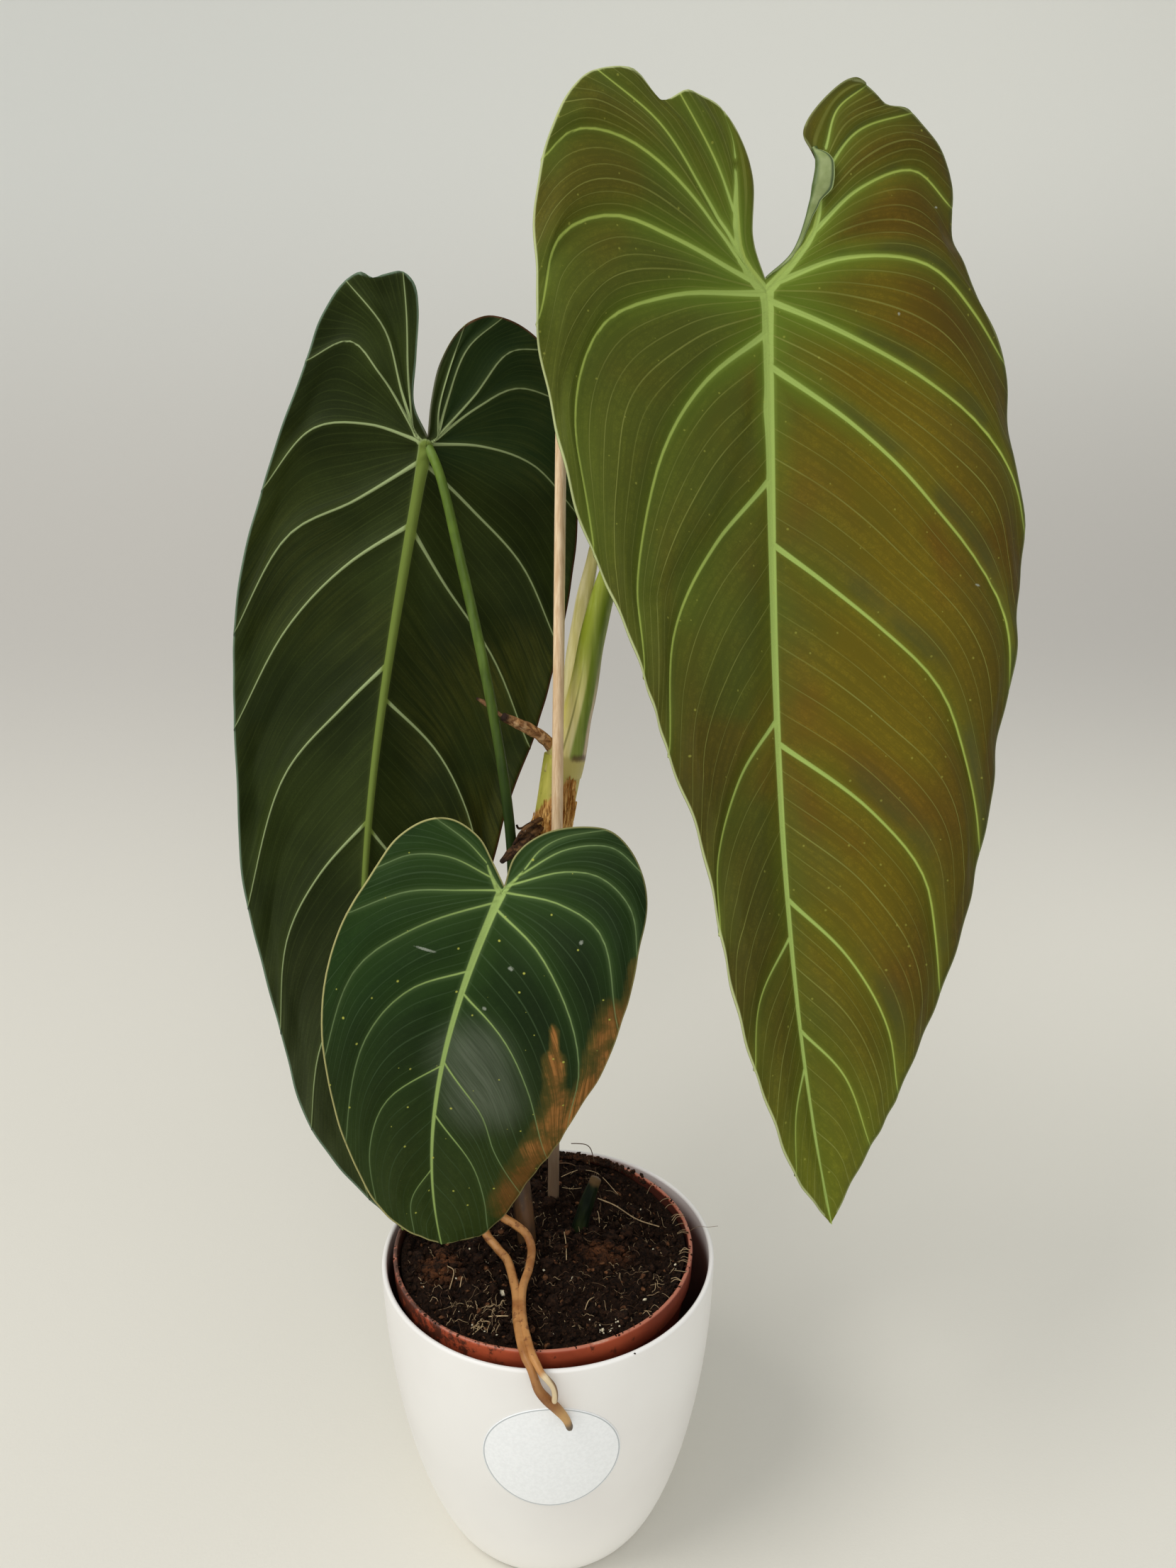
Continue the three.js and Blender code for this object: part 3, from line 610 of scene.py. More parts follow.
def notch_strip(half, rows, spine, count=5):
    """The narrow strip between the trunk with its first vein and the notch's margin."""
    trunk_rows = [row[0] for row, s in zip(rows, spine) if s <= 0]
    inner = np.array(trunk_rows[::-1] + list(rows[0][1:]))
    reach = reach_along(inner)
    outer = resampled(half.margin, reach / reach[-1] * half.ends[0] / half.margin_length)
    parts = np.linspace(0, 1, count + 1)[None, :, None]
    return inner[:, None] * (1 - parts) + outer[:, None] * parts


def vein_relief(distance, half_width):
    """A half-round ridge: 1 in the middle of a vein, 0 from its edge on."""
    return np.sqrt(np.clip(1 - (distance / half_width) ** 2, 0, 1))


def half_marks(leaf, half, stations, thin_trunk):
    """The two grids of a half blade, each with marks that tell where on the blade a point is."""
    rows, numbers = half.rows(stations)
    whole = np.minimum(numbers.astype(int), len(half.starts) - 2)
    starts = np.array(half.starts, float)
    spine = starts[whole] + (numbers - whole) * (starts[whole + 1] - starts[whole])
    strip = notch_strip(half, rows, spine)
    gaps = np.array([np.linalg.norm(half.lines[k + 1] - half.lines[k], axis=1) for k in whole])
    lengths = np.linalg.norm(np.diff(rows, axis=1), axis=2).sum(axis=1)
    long, wide = strip.shape[:2]
    narrow = np.minimum(np.linalg.norm(strip[:, -1] - strip[:, 0], axis=1), 4)[:, None]
    broad = min(3.4, 1.9 + 0.05 * half.trunk_length) * (0.7 if thin_trunk else 1)
    girths = np.array([broad, 0.6 * broad, 0.35 * broad, 0.4])
    for grid, number, way, gap, reach in (
            (rows, numbers[:, None], half.out, gaps, lengths[:, None]),
            (strip, np.linspace(0, -1, wide), np.linspace(0, 1, long)[:, None], narrow, 20.0)):
        marks = {"number": number, "way": way, "gap": gap, "reach": reach}
        marks = {mark: np.broadcast_to(values, grid.shape[:2]).ravel() for mark, values in marks.items()}
        points = grid.reshape(-1, 2)
        marks["rib"] = np.min([distance_to(points, line[::2]) for line in half.lines[:-1]], axis=0)
        marks["edge"] = distance_to(points, half.margin[::12])
        marks["trunk"] = distance_to(points, half.trunk[::6])
        part = np.clip(points[:, 0] / half.trunk[-1][0], 0, 1)
        marks["stem"] = leaf["girth"] * np.interp(part, [0, 0.3, 0.65, 1], girths)
        yield grid, marks


def flat_blade(leaf):
    """A blade's flat points, its triangles and its marks, with the halves joined along the midrib."""
    halves = [HalfBlade(leaf, half) for half in leaf["halves"]]
    stations = stations_of(halves)
    flat, faces, found, start = [], [], [], 0
    for half, left in zip(halves, (True, False)):
        for grid, marks in half_marks(leaf, half, stations, "curl" in leaf and not left):
            quads = grid_faces(*grid.shape[:2], start=start)
            faces.append(quads if left else quads[:, ::-1])
            flat.append(grid.reshape(-1, 2))
            found.append(marks)
            start += len(flat[-1])
    flat = np.concatenate(flat)

    # Weld points that coincide and drop faces that have closed up
    keys = np.round(flat * WELDS_PER_MM).astype(np.int64)
    _, first, joined = np.unique(keys, axis=0, return_index=True, return_inverse=True)
    faces = joined.ravel()[np.concatenate(faces)]
    triangles = np.concatenate([faces[:, [0, 1, 2]], faces[:, [0, 2, 3]]])
    sound = np.all(triangles != np.roll(triangles, 1, axis=1), axis=1)
    marks = {mark: np.concatenate([marks[mark] for marks in found])[first] for mark in found[0]}
    return flat[first], triangles[sound], marks


def blade(name, leaf, upper, under, node):
    """A blade with relief on both faces, and the marks that its two materials read."""
    flat, triangles, marks = flat_blade(leaf)
    along, across = flat.T
    number, gap, edge, trunk = [marks[mark] for mark in ("number", "gap", "edge", "trunk")]
    girth = leaf["girth"]
    part = np.clip(along / leaf["length"], 0, 1)
    middle = np.where(along >= 0, np.abs(across), np.hypot(along, across))
    spine_width = girth * np.interp(part, [0, 0.05, 0.3, 0.7, 1], [3.2, 2.5, 1.8, 1.0, 0.4])
    vein_width = girth * np.interp(marks["way"], [0, 0.1, 0.35, 0.75, 1], [1.5, 1.1, 0.75, 0.5, 0.3])
    vein_width = vein_width * np.interp(part, [0, 1], [1, 0.7])
    vein_width = vein_width * np.interp(marks["reach"], [15, 60, 120], [0.45, 0.8, 1.05])
    marks.update(middle=middle, along=part, down=along, across=across, spine=spine_width, vein=vein_width,
                 joint=np.hypot(along, across))
    # The scorch mark places burns; the other mark places a painted sheen patch.
    for mark, fade in (("scorch", 3.6), ("painted_sheen", 2.6)):
        marks[mark] = np.zeros(len(flat))
        for line, wide in leaf.get(mark, []):
            near = 1 - distance_to(flat, spline(line, 30)) / (fade * wide)
            marks[mark] = np.maximum(marks[mark], np.clip(near, 0, 1))

    # Heights over the bent blade: pleats and swell between the veins, a waved margin and creases
    free = np.clip(edge / 7, 0, 1)
    between = np.pi * (number % 1)
    pleat = 0.05 * gap * np.sin(between) * (1 - 0.6 * np.cos(between))
    nearest = np.minimum(np.minimum(middle, marks["rib"]), np.where(along < 2, trunk, 99))
    pillow = 1.1 * (1 - np.exp(-(nearest / 8) ** 2)) + 0.5 * (1 - np.exp(-(nearest / 2.2) ** 2))
    away = 1 - np.exp(-(np.minimum(middle, trunk) / 12) ** 2)
    wave = 0.4 * girth * np.exp(-edge / 9) * np.sin(number * 9.4 + along / 9)
    if "curl" in leaf:
        wave = wave * np.clip(distance_to(flat, spline(leaf["curl"], 40)) / 8 - 0.4, 0, 1)
    coarse = np.array([noise.noise(Vector((a / 30, b / 30, leaf["length"]))) for a, b in flat])
    swell = girth * (pillow + np.minimum(pleat, 2.4) * away) * free + wave
    swell = swell + 1.1 * girth * coarse * np.clip(middle / 20, 0, 1)
    for crease in leaf["creases"]:
        swell = swell - 1.5 * girth * np.exp(-(distance_to(flat, np.array(crease, float)) / 5) ** 2)

    # The two faces, with the veins raised on the underside
    spine_up, ribs_up = vein_relief(middle, spine_width), vein_relief(marks["rib"], vein_width)
    trunk_up = np.where(along < 2, vein_relief(trunk, marks["stem"]), 0)
    top = BLADE_THICKNESS / 2 + swell + 0.28 * girth * np.maximum(spine_up, 0.7 * trunk_up) - 0.12 * ribs_up
    keel = np.maximum(2.0 * girth * (1 - 0.6 * part) * spine_up, 1.3 * girth * trunk_up)
    low = -BLADE_THICKNESS / 2 + swell - np.maximum(keel, 0.75 * girth * ribs_up)
    places = blade_places(leaf, along, across)
    normals = blade_normals(leaf, along, across) * leaf["upper"]
    points = np.concatenate([places + normals * top[:, None], places + normals * low[:, None]])
    front, back, wall = two_sided(triangles if leaf["upper"] > 0 else triangles[:, ::-1], len(flat))
    faces = [front, back, np.concatenate([wall[:, :3], wall[:, [0, 2, 3]]])]
    kinds = np.concatenate([np.full(len(block), kind) for block, kind in zip(faces, (0, 1, 0))])
    span = max(np.ptp(along), np.ptp(across)) * 1.02
    uv = np.stack([(across - across.min()) / span * 0.5, (along - along.min()) / span], axis=1)
    marks = {mark: np.tile(values, 2) for mark, values in marks.items()}
    piece(name, points, faces, [upper, under], node, node, marks, kinds, np.concatenate([uv, uv + [0.5, 0]]))


def vein_masks(paint, soft, girth):
    """How much of a main vein a point shows, and how far it is from the nearest one's edge, in mm."""
    trunk = paint.mark("trunk") + paint.mark("along").band(0.0, 0.02, 0, 50)
    rib_gap = paint.mark("rib") - paint.mark("vein") * (0.75 * girth)
    spine_gap = paint.mark("middle") - paint.mark("spine") * 0.9
    trunk_gap = trunk - paint.mark("stem") * 0.8
    out = paint.math("MINIMUM", paint.math("MINIMUM", rib_gap, spine_gap), trunk_gap)
    return out.band(-soft, soft, 1, 0), out


def fine_veins(paint, count, width):
    """Fine veins parallel to the main ones, this many to a gap: how much of one a point shows."""
    gap = paint.mark("gap") / count
    away = paint.math("PINGPONG", paint.mark("number") * count, 0.5) * gap
    return away.band(width * 0.4, width, 1, 0) * gap.band(0.8, 2.6)


def grain_of(paint):
    """Streaks that follow the veins, and a fine grain."""
    along_veins = paint.node("ShaderNodeCombineXYZ", [paint.mark("number") * 22, paint.mark("way") * 2.6])
    return paint.noise(1, 4, 0.65, at=along_veins), paint.noise(1500, 3, 0.7)


def scorch(paint, streaks):
    """Burnt patches along a blade's margin: rust-coloured, with olive edges."""
    cloud, along, near = paint.noise(120, 4, 0.6), paint.mark("along"), paint.mark("scorch")
    ragged = (streaks - 0.5) * 0.9 + (cloud - 0.5) * 1.1
    burn = (near + ragged) * near.band(0, 0.35)
    paint.lay(burn.band(0.02, 0.55, 0, 0.9), (72, 66, 27))
    rust = paint.mix(streaks.band(0.4, 0.62), (112, 76, 34), (160, 108, 56))
    rust = paint.mix(cloud.band(0.35, 0.6), (100, 76, 34), rust)
    dull = paint.math("MAXIMUM", along.band(0.12, 0.26, 1, 0), along.band(0.64, 0.78))
    rust = paint.mix(dull * 0.8, rust, (98, 68, 31))
    paint.lay(burn.band(0.42, 0.92) * along.band(0.1, 0.27, 0.35, 0.92), rust)


def upper_skin(name, sides, patch, margin, veins, painted_glow_color, fine, edge, tail, tail_start, painted_glow=0.6,
               fine_strength=0.5, vein_girth=1.0, shade=0.0, dots=0.0, spots=()):
    """The velvety upper face: dark between the pale veins, with a painted glow of light shining through round
    the joint and along the veins.
    """
    paint = Paint(name, 0.5, 0.07)
    line, out = vein_masks(paint, 0.28, vein_girth)
    streaks, grain = grain_of(paint)
    across, along, rim, joint = [paint.mark(mark) for mark in ("across", "along", "edge", "joint")]
    cloud = paint.noise(26, 3, 0.5)
    lobes = along.band(-0.12, 0.1, 1, 0)
    paint.base = paint.mix((across * 0.012 + (cloud - 0.5)).band(-0.4, 0.5), *sides)
    patchy = paint.noise(17, 2, 0.5, distort=0.4).band(0.48, 0.68) * across.band(-40, 50, 0.34, 0.85)
    paint.lay(patchy * lobes.band(0, 1, 1, 0.5), patch)
    paint.lay(lobes * across.band(-40, 20, 0.1, 0.35), margin)
    outer = paint.math("MAXIMUM", across.band(-10, 40), along.band(0.25, 0.5))
    paint.lay(outer * rim.band(3, 40, 0.7, 0), margin)
    paint.lay(along.band(tail_start, 0.98, 0, 0.9), tail)
    dark = paint.darken((216, 220, 218), streaks, 0.4, 0.6, grain, 0.7)
    paint.lay(paint.noise(420, 3, 0.7).band(0.35, 0.65, 0.8, 0), dark)
    # Painted glow of light shining through the blade: a pale halo round the joint and along the veins, fading
    # away from the joint.
    node = joint.band(6, 90, 1.0, 0.22)
    paint.lay(joint.band(4, 44, 0.75 * painted_glow, 0), painted_glow_color)
    paint.lay(out.band(0.0, 9.0, 1, 0) * node * painted_glow, painted_glow_color)
    paint.lay(out.band(0.0, 1.6, 1, 0) * node * painted_glow, paint.mix(0.3, painted_glow_color, veins[1]))
    # Painted shade: a dark band just before each next vein, where the pleat turns away from the light.
    between = paint.math("FRACT", paint.mark("number"))
    painted_shade_above_veins = between.band(0.72, 0.9) * between.band(0.92, 0.99, 1, 0)
    painted_shade_above_veins = painted_shade_above_veins * (across.band(12, 34) * paint.noise(34, 2, 0.5).band(0.42, 0.58))
    paint.lay(painted_shade_above_veins * shade, (56, 64, 34))
    fade = paint.noise(40, 2, 0.5).band(0.3, 0.6, 0.5, 1.0) * lobes.band(0, 1, 1, 0.55)
    middling = fine_veins(paint, 2, 0.42) * (1.5 * fine_strength)
    lines = paint.math("MAXIMUM", middling, fine_veins(paint, 6, 0.32) * fine_strength) * fade
    paint.lay(lines, fine)
    # Painted sheen: a grey, streaky patch of reflected light.
    paint.lay(paint.mark("painted_sheen").band(0.1, 0.9) * streaks.band(0.3, 0.7, 0.4, 0.85), (92, 100, 82))
    scorch(paint, streaks)
    paint.lay(line, paint.mix(paint.mark("way").band(0.0, 0.7), *veins))
    right = across.band(-20, 20)
    paint.lay(rim.band(0.2, 0.7, 0.8, 0) * right.band(0, 1, 1, 0.5), edge)
    # Painted shade: a dark band just inside the right margin, where it bends back.
    paint.lay(rim.band(0.5, 2.6, 0.7 * shade, 0) * right, (56, 66, 34))
    paint.lay(paint.dots(7.5, 0.5, 0.34) * dots, (166, 168, 74))
    for spot in spots:
        paint.lay(paint.spot(*spot) * 0.65, (156, 162, 146))
    height = grain * 0.4 + lines * -0.8 + streaks * 0.5
    return paint.done(height, 0.0003, 0.6, cloud.band(0.3, 0.7, 0.44, 0.58))


def under_skin(name, greens, patch, veins, fine, edges):
    """The underside: matt, with raised pale veins and a fine net between them."""
    paint = Paint(name, 0.58, 0.07)
    line, out = vein_masks(paint, 0.2, 0.9)
    streaks, grain = grain_of(paint)
    across, along = paint.mark("across"), paint.mark("along")
    paint.base = paint.mix(paint.noise(22, 3, 0.5).band(0.35, 0.65), *greens)
    patchy = paint.noise(16, 3, 0.6).band(0.42, 0.64) * streaks.band(0.25, 0.7)
    paint.lay(patchy * across.band(0, 50, 0.25, 1), patch)
    # Painted sheen: the lower left of the blade is lighter and greyer.
    paint.lay(along.band(0.5, 0.9) * across.band(-30, 0, 0.7, 0), (68, 74, 48))
    paint.darken((220, 222, 216), streaks, 0.38, 0.62, grain, 0.8)
    paint.lay(along.band(-0.02, 0.05, 1, 0) * across.band(0, 6) * 0.5, (30, 56, 30))
    paint.lay(fine_veins(paint, 8, 0.3) * 0.16, fine)
    paint.lay(out.band(0.0, 1.5, 0.25, 0), fine)
    paint.lay(line, paint.mix(paint.mark("middle").band(1.5, 3.5), *veins))
    paint.lay(paint.mark("edge").band(0.25, 0.9, 0.8, 0), paint.mix(across.band(-10, 10), *edges))
    return paint.done(grain * 0.4 + streaks * 0.4, 0.0003, 0.6)


def curl_skin():
    paint = Paint("curl_skin", 0.5, 0.3)
    rolled = paint.mark("rolled")
    paint.base = paint.mix(paint.noise(90, 3, 0.6).band(0.35, 0.65), (124, 138, 82), (150, 162, 110))
    # Painted shade: the roll is darker low down, from the blade up round its outer bend.
    paint.lay(rolled.band(0.42, 0.62, 1, 0), (74, 92, 40))
    paint.lay(rolled.band(0.86, 0.93), (70, 86, 48))
    paint.lay(rolled.band(0.95, 0.99), (172, 188, 124))
    return paint.done(paint.noise(900, 3, 0.6), 0.0003, 0.5)


def curl(name, leaf, node):
    """The margin rolled over on to the upper face at one lobe's inner side."""
    fold = spline(leaf["curl"], 90)
    heading = unit(np.gradient(fold, axis=0))
    inward = fold + np.stack([heading[:, 1], -heading[:, 0]], axis=1)
    places = blade_places(leaf, *fold.T)
    into = unit(blade_places(leaf, *inward.T) - places)
    normals = blade_normals(leaf, *fold.T)
    part = np.linspace(0, 1, len(fold))
    width = eased(*leaf["curl_width"])(part)
    radius = np.clip(width * 0.28, 0.25, 1.5)
    line = [places + into * 1.6]
    for turn in np.radians(np.linspace(-90, -270, 13)):
        line.append(places + into * (radius * math.cos(turn))[:, None]
                    + normals * (radius * (1 + math.sin(turn)))[:, None])
    for reach in np.linspace(0.15, 1, 9):
        lift = radius * 2 - 0.45 * radius * reach ** 2 + 0.25 * np.sin(part * 40) * reach
        line.append(places + into * (width * reach)[:, None] + normals * lift[:, None])
    sheet = np.array(line)
    rows, columns = sheet.shape[:2]
    over = unit(np.cross(np.gradient(sheet, axis=0), np.gradient(sheet, axis=1)))
    shell = np.concatenate([sheet + over * 0.2, sheet - over * 0.2]).reshape(-1, 3)
    rolled = np.tile(np.repeat(np.linspace(0, 1, rows), columns), 2)
    piece(name, shell, two_sided(grid_faces(rows, columns), rows * columns), [curl_skin()], node, node,
          {"rolled": rolled})


def leaves():
    # Each upper face gets a painted glow of light shining through it, in its own colour and strength.
    large_up = upper_skin(
        "large_leaf_upper", sides=((84, 90, 28), (112, 96, 20)), patch=(110, 80, 20), margin=(72, 62, 18),
        veins=((156, 178, 92), (156, 172, 80)), painted_glow_color=(92, 114, 32), fine=(136, 140, 70), edge=(186, 194, 138),
        tail=(112, 114, 30), tail_start=0.74, painted_glow=0.7, fine_strength=0.33, shade=0.45, dots=0.35,
        spots=[(-28, 64, 0.5, 0.8), (8, 47, 0.6, 0.6), (100, 78, 0.6, 1.4)])
    small_up = upper_skin(
        "small_leaf_upper", sides=((35, 57, 21), (28, 43, 17)), patch=(34, 44, 24), margin=(28, 42, 16),
        veins=((150, 174, 98), (122, 144, 94)), painted_glow_color=(46, 70, 26), fine=(72, 92, 60), edge=(182, 176, 116),
        tail=(56, 68, 28), tail_start=0.25, painted_glow=0.5, fine_strength=0.26, vein_girth=0.66, dots=1,
        spots=[(25, -17, 0.5, 4.4), (4, 31.5, 1.1, 0.8), (22.5, 13, 0.9, 1.1), (40.5, 9, 0.9, 0.9)])
    left_up = upper_skin(
        "left_leaf_upper", sides=((58, 74, 20), (70, 70, 16)), patch=(80, 72, 16), margin=(60, 60, 18),
        veins=((142, 168, 80), (130, 148, 66)), painted_glow_color=(72, 98, 22), fine=(98, 104, 44), edge=(140, 150, 86),
        tail=(76, 82, 24), tail_start=0.7, painted_glow=0.45)
    bronze = under_skin("leaf_underside", greens=((36, 45, 13), (48, 58, 20)), patch=(68, 70, 24),
                        veins=((104, 120, 52), (146, 160, 110)), fine=(76, 88, 42),
                        edges=((106, 126, 104), (92, 56, 38)))
    blade("large_leaf_blade", LARGE_LEAF, large_up, bronze, "large_leaf")
    curl("large_leaf_curl", LARGE_LEAF, "large_leaf")
    blade("small_leaf_blade", SMALL_LEAF, small_up, bronze, "small_leaf")
    blade("left_leaf_blade", LEFT_LEAF, left_up, bronze, "left_leaf")


# Stems and petioles
STEM_PATH = [(-6, 2, 70), (-9, 6, 119), (-13, 18, 150), (-12, 34, 195), (-7, 49, 240), (1.6, 60.5, 282),
             (6, 64, 306)]
STEM_NODES = (0.32, 0.52, 0.68, 0.86)
SKIN_STRANDS = 210
LARGE_PETIOLE = [(5, 63.5, 299), (9.3, 63.5, 315), (14, 63, 335), (18, 63, 357), (25, 62.5, 381),
                 (43, 61, 412), (62, 56, 447), (77, 49.4, 476.6)]
LEFT_PETIOLE = [(-11, 38, 207), (-13.5, 43, 240), (-14.8, 44, 276), (-18, 47.5, 306), (-25, 55, 346),
                (-34, 63, 387), (-41.5, 71, 417), (-47.6, 77.6, 430)]
SMALL_PETIOLE = [(-13, 22, 160), (-15, 4, 188), (-15.5, -10, 226), (-15.5, -16, 262), (-14.3, -24.6, 279.5)]
BUD_SHEATH = [(4.6, 67, 301), (6.8, 68, 320), (10.3, 69.5, 345), (14.8, 70, 371), (19.4, 70, 392),
              (23.5, 70, 408)]
DRY_STUB = [(-1, 59, 279), (-6, 48, 279), (-12, 37.5, 276), (-18, 29.5, 272.5)]
UPPER_HUSK = [(-1, 58, 282), (-5, 50, 282.6), (-9.6, 43, 281.4), (-13.6, 36.4, 277.4)]
LOWER_HUSK = [(2, 58, 277), (-3, 49, 274.6), (-8.6, 40, 272.8), (-14.6, 33, 273)]
STUB_HAIR = [(-12.6, 46, 282.3), (-12, 46.4, 280.9), (-10.7, 47, 280.7), (-8.6, 48.6, 281.6),
             (-5.5, 51, 282.6)]
DEAD_ROOT = [(3, 65, 306), (-1, 61.5, 313), (-8, 56, 319.5), (-18, 50, 326)]
DEAD_TAIL = [(-17, 50.6, 325.4), (-20, 51.5, 327), (-24, 52.5, 330.2), (-28, 53, 332.6)]
CUT_PETIOLE = [(10, 11.5, 100), (12.6, 13, 119), (16, 15.4, 131), (19.2, 17.2, 139.5)]


def fluted(depth, count, wobble):
    """A rod's cross shape with ribs along it, and with slow unevenness."""
    def shape(t, turn):
        return 1 + depth * np.cos(turn * count + 5 * t) + wobble * np.sin(turn * 2 + 9 * t) * np.sin(23 * t)
    return shape


def wrinkled(depth, seed):
    """The cross shape of a shrivelled rod, with creases that run along it."""
    def shape(t, turn):
        folds = np.sin(turn * 5 + 7 * t + seed) * 0.5 + np.sin(turn * 9 - 16 * t + 2 * seed) * 0.35
        return 1 + depth * (folds + np.sin(31 * t + seed) * np.sin(turn * 3 + seed) * 0.4)
    return shape


def rod(name, material, node, slot, *measures, **form):
    """A piece that is one bent rod, with what Tubes.add takes."""
    Tubes().add(*measures, **form).finish(name, material, node, slot)


def stem_girth(t):
    rings = sum(0.9 * np.exp(-((t - node) / 0.012) ** 2) for node in STEM_NODES)
    return eased(3, 3.6, 4.4, 5, 5.8, 7.7, 8)(t) + rings


def stem():
    paint = Paint("stem_skin", 0.5, 0.3)
    way, east = paint.mark("way"), paint.mark("east")
    streak = paint.noise(160, 4, 0.6, (1, 1, 0.12))
    young = paint.mix(streak.band(0.35, 0.7), (170, 168, 62), (206, 198, 96))
    old = paint.mix(streak.band(0.35, 0.65), (92, 62, 34), (60, 42, 24))
    paint.base = paint.mix(way.band(0.35, 0.7), old, young)
    paint.lay(way.band(0.84, 0.93) * east.band(-0.7, 0.1), paint.mix(streak, (176, 164, 84), (206, 192, 116)))
    slant = east * 0.05 + 0.948 - east.band(0.6, 1.0, 0, 0.07)
    below = (streak * 0.02 + way - slant).band(0.002, 0.014, 1, 0)
    husk = paint.mix(streak.band(0.4, 0.6), (168, 116, 56), (230, 182, 104))
    paint.lay(below * way.band(0.7, 0.78), husk)
    paint.lay(paint.mark("node") * 0.75, (92, 66, 36))
    paint.lay(paint.noise(420, 3, 0.7).band(0.6, 0.72) * 0.5, (104, 84, 42))
    rods = Tubes().add(STEM_PATH, stem_girth, 40, 220, shape=fluted(0.018, 9, 0.02))
    rods.marks["node"] = [sum(np.exp(-((way - node) / 0.008) ** 2) for node in STEM_NODES)
                          for way in rods.marks["way"]]
    rods.finish("stem", paint.done(streak, 0.0004, 0.5), "main_stem", "stem_skin")


def petiole_skin(name, low_color, high_color, striation_and_highlight_color):
    paint = Paint(name, 0.4, 0.14)
    streak, cloud = paint.noise(220, 3, 0.6, (1, 1, 0.06)), paint.noise(70, 3, 0.55)
    high = paint.mark("way").band(0.15, 1.0)
    paint.base = paint.mix(high, low_color, high_color)
    # Pale streaks along the upper petiole: its own striations, brightened as painted highlight stripes.
    paint.lay(high * streak.band(0.45, 0.72, 0, 0.7), striation_and_highlight_color)
    paint.lay(cloud.band(0.35, 0.7, 0.35, 0), (30, 44, 20))
    return paint.done(streak, 0.0003, 0.4, cloud.band(0.3, 0.7, 0.4, 0.55))


def sheathed_skin():
    """The large leaf's petiole: a khaki sheath on the west, green further round, dry brown at its edge."""
    paint = Paint("large_petiole_skin", 0.45, 0.3)
    way, east = paint.mark("way"), paint.mark("east")
    streak = paint.noise(240, 4, 0.6, (1, 1, 0.05))
    low = way.band(0.13, 0.3, 1, 0)
    green = paint.mix(east.band(-0.3, 0.5), (136, 148, 38), (102, 122, 26))
    paint.base = paint.mix(streak.band(0.4, 0.75, 0, 0.6), green, (176, 186, 98))
    khaki = paint.mix(streak.band(0.35, 0.7), (206, 196, 106), (232, 222, 156))
    paint.lay((east + streak * 0.12).band(0.1, 0.3, 1, 0) * low, khaki)
    paint.lay(abs(east + 0.3).band(0.02, 0.09, 1, 0) * low * 0.7, (112, 112, 40))
    paint.lay(east.band(0.72, 0.84) * low, paint.mix(streak.band(0.4, 0.6), (112, 76, 46), (206, 186, 150)))
    height = streak * 0.02 + way
    paint.lay(height.band(0.05, 0.062, 1, 0), paint.mix(streak, (176, 164, 84), (206, 192, 116)))
    scar = abs(height - 0.058).band(0.001, 0.012, 1, 0) * east.band(0.1, 0.4)
    paint.lay(scar * 0.8, (92, 62, 40))
    return paint.done(streak, 0.0004, 0.5)


def petioles():
    rod("large_petiole", sheathed_skin(), "large_leaf", "large_leaf", LARGE_PETIOLE,
        eased(8.3, 6, 5.1, 4.4, 3.8, 3.2, 2.8, 2.2), 36, 200, shape=fluted(0.012, 7, 0.015))
    skin = petiole_skin("left_petiole_skin", (26, 44, 12), (98, 122, 42), (122, 148, 70))
    rod("left_petiole", skin, "left_leaf", "left_leaf", LEFT_PETIOLE,
        eased(3.6, 2.6, 2.1, 2, 2, 1.9, 1.8), 28, 180, shape=fluted(0.02, 6, 0.02), blunt=0.4)
    skin = petiole_skin("small_petiole_skin", (86, 92, 50), (120, 150, 76), (150, 170, 100))
    rod("small_petiole", skin, "small_leaf", "small_leaf", SMALL_PETIOLE,
        eased(3.2, 2.2, 1.9, 1.8, 1.6), 28, 140, shape=fluted(0.02, 6, 0.02), blunt=0.4)


def sheath():
    paint = Paint("sheath_skin", 0.5, 0.4)
    streak = paint.noise(260, 4, 0.6, (1, 1, 0.04))
    paint.base = paint.mix(streak.band(0.35, 0.7), (186, 176, 104), (214, 204, 150))
    paint.lay(paint.mark("east").band(0.55, 0.85), (220, 210, 184))
    paint.lay(paint.mark("way").band(0.75, 1.0), (120, 146, 62))
    rod("bud_sheath_skin", paint.done(streak, 0.0004, 0.6), "bud_sheath", "sheath", BUD_SHEATH,
        eased(3.2, 4.6, 4.6, 4.2, 3, 0.8), 32, 140, squash=0.62, shape=fluted(0.025, 11, 0.02), blunt=0.5)


def dead_skin(name, dark, light, edge):
    paint = Paint(name, 0.85, 0.2)
    grain = paint.noise(330, 5, 0.7, distort=0.6)
    paint.base = paint.mix(grain.band(0.38, 0.62), dark, light)
    paint.lay(paint.noise(140, 3, 0.6).band(0.55, 0.68, 0, 0.8), edge)
    paint.lay(paint.mark("which") * 0.7, (66, 40, 28))
    paint.lay(paint.mark("way").band(0.84, 0.98), (42, 28, 20))
    return paint.done(grain, 0.0009, 0.9)


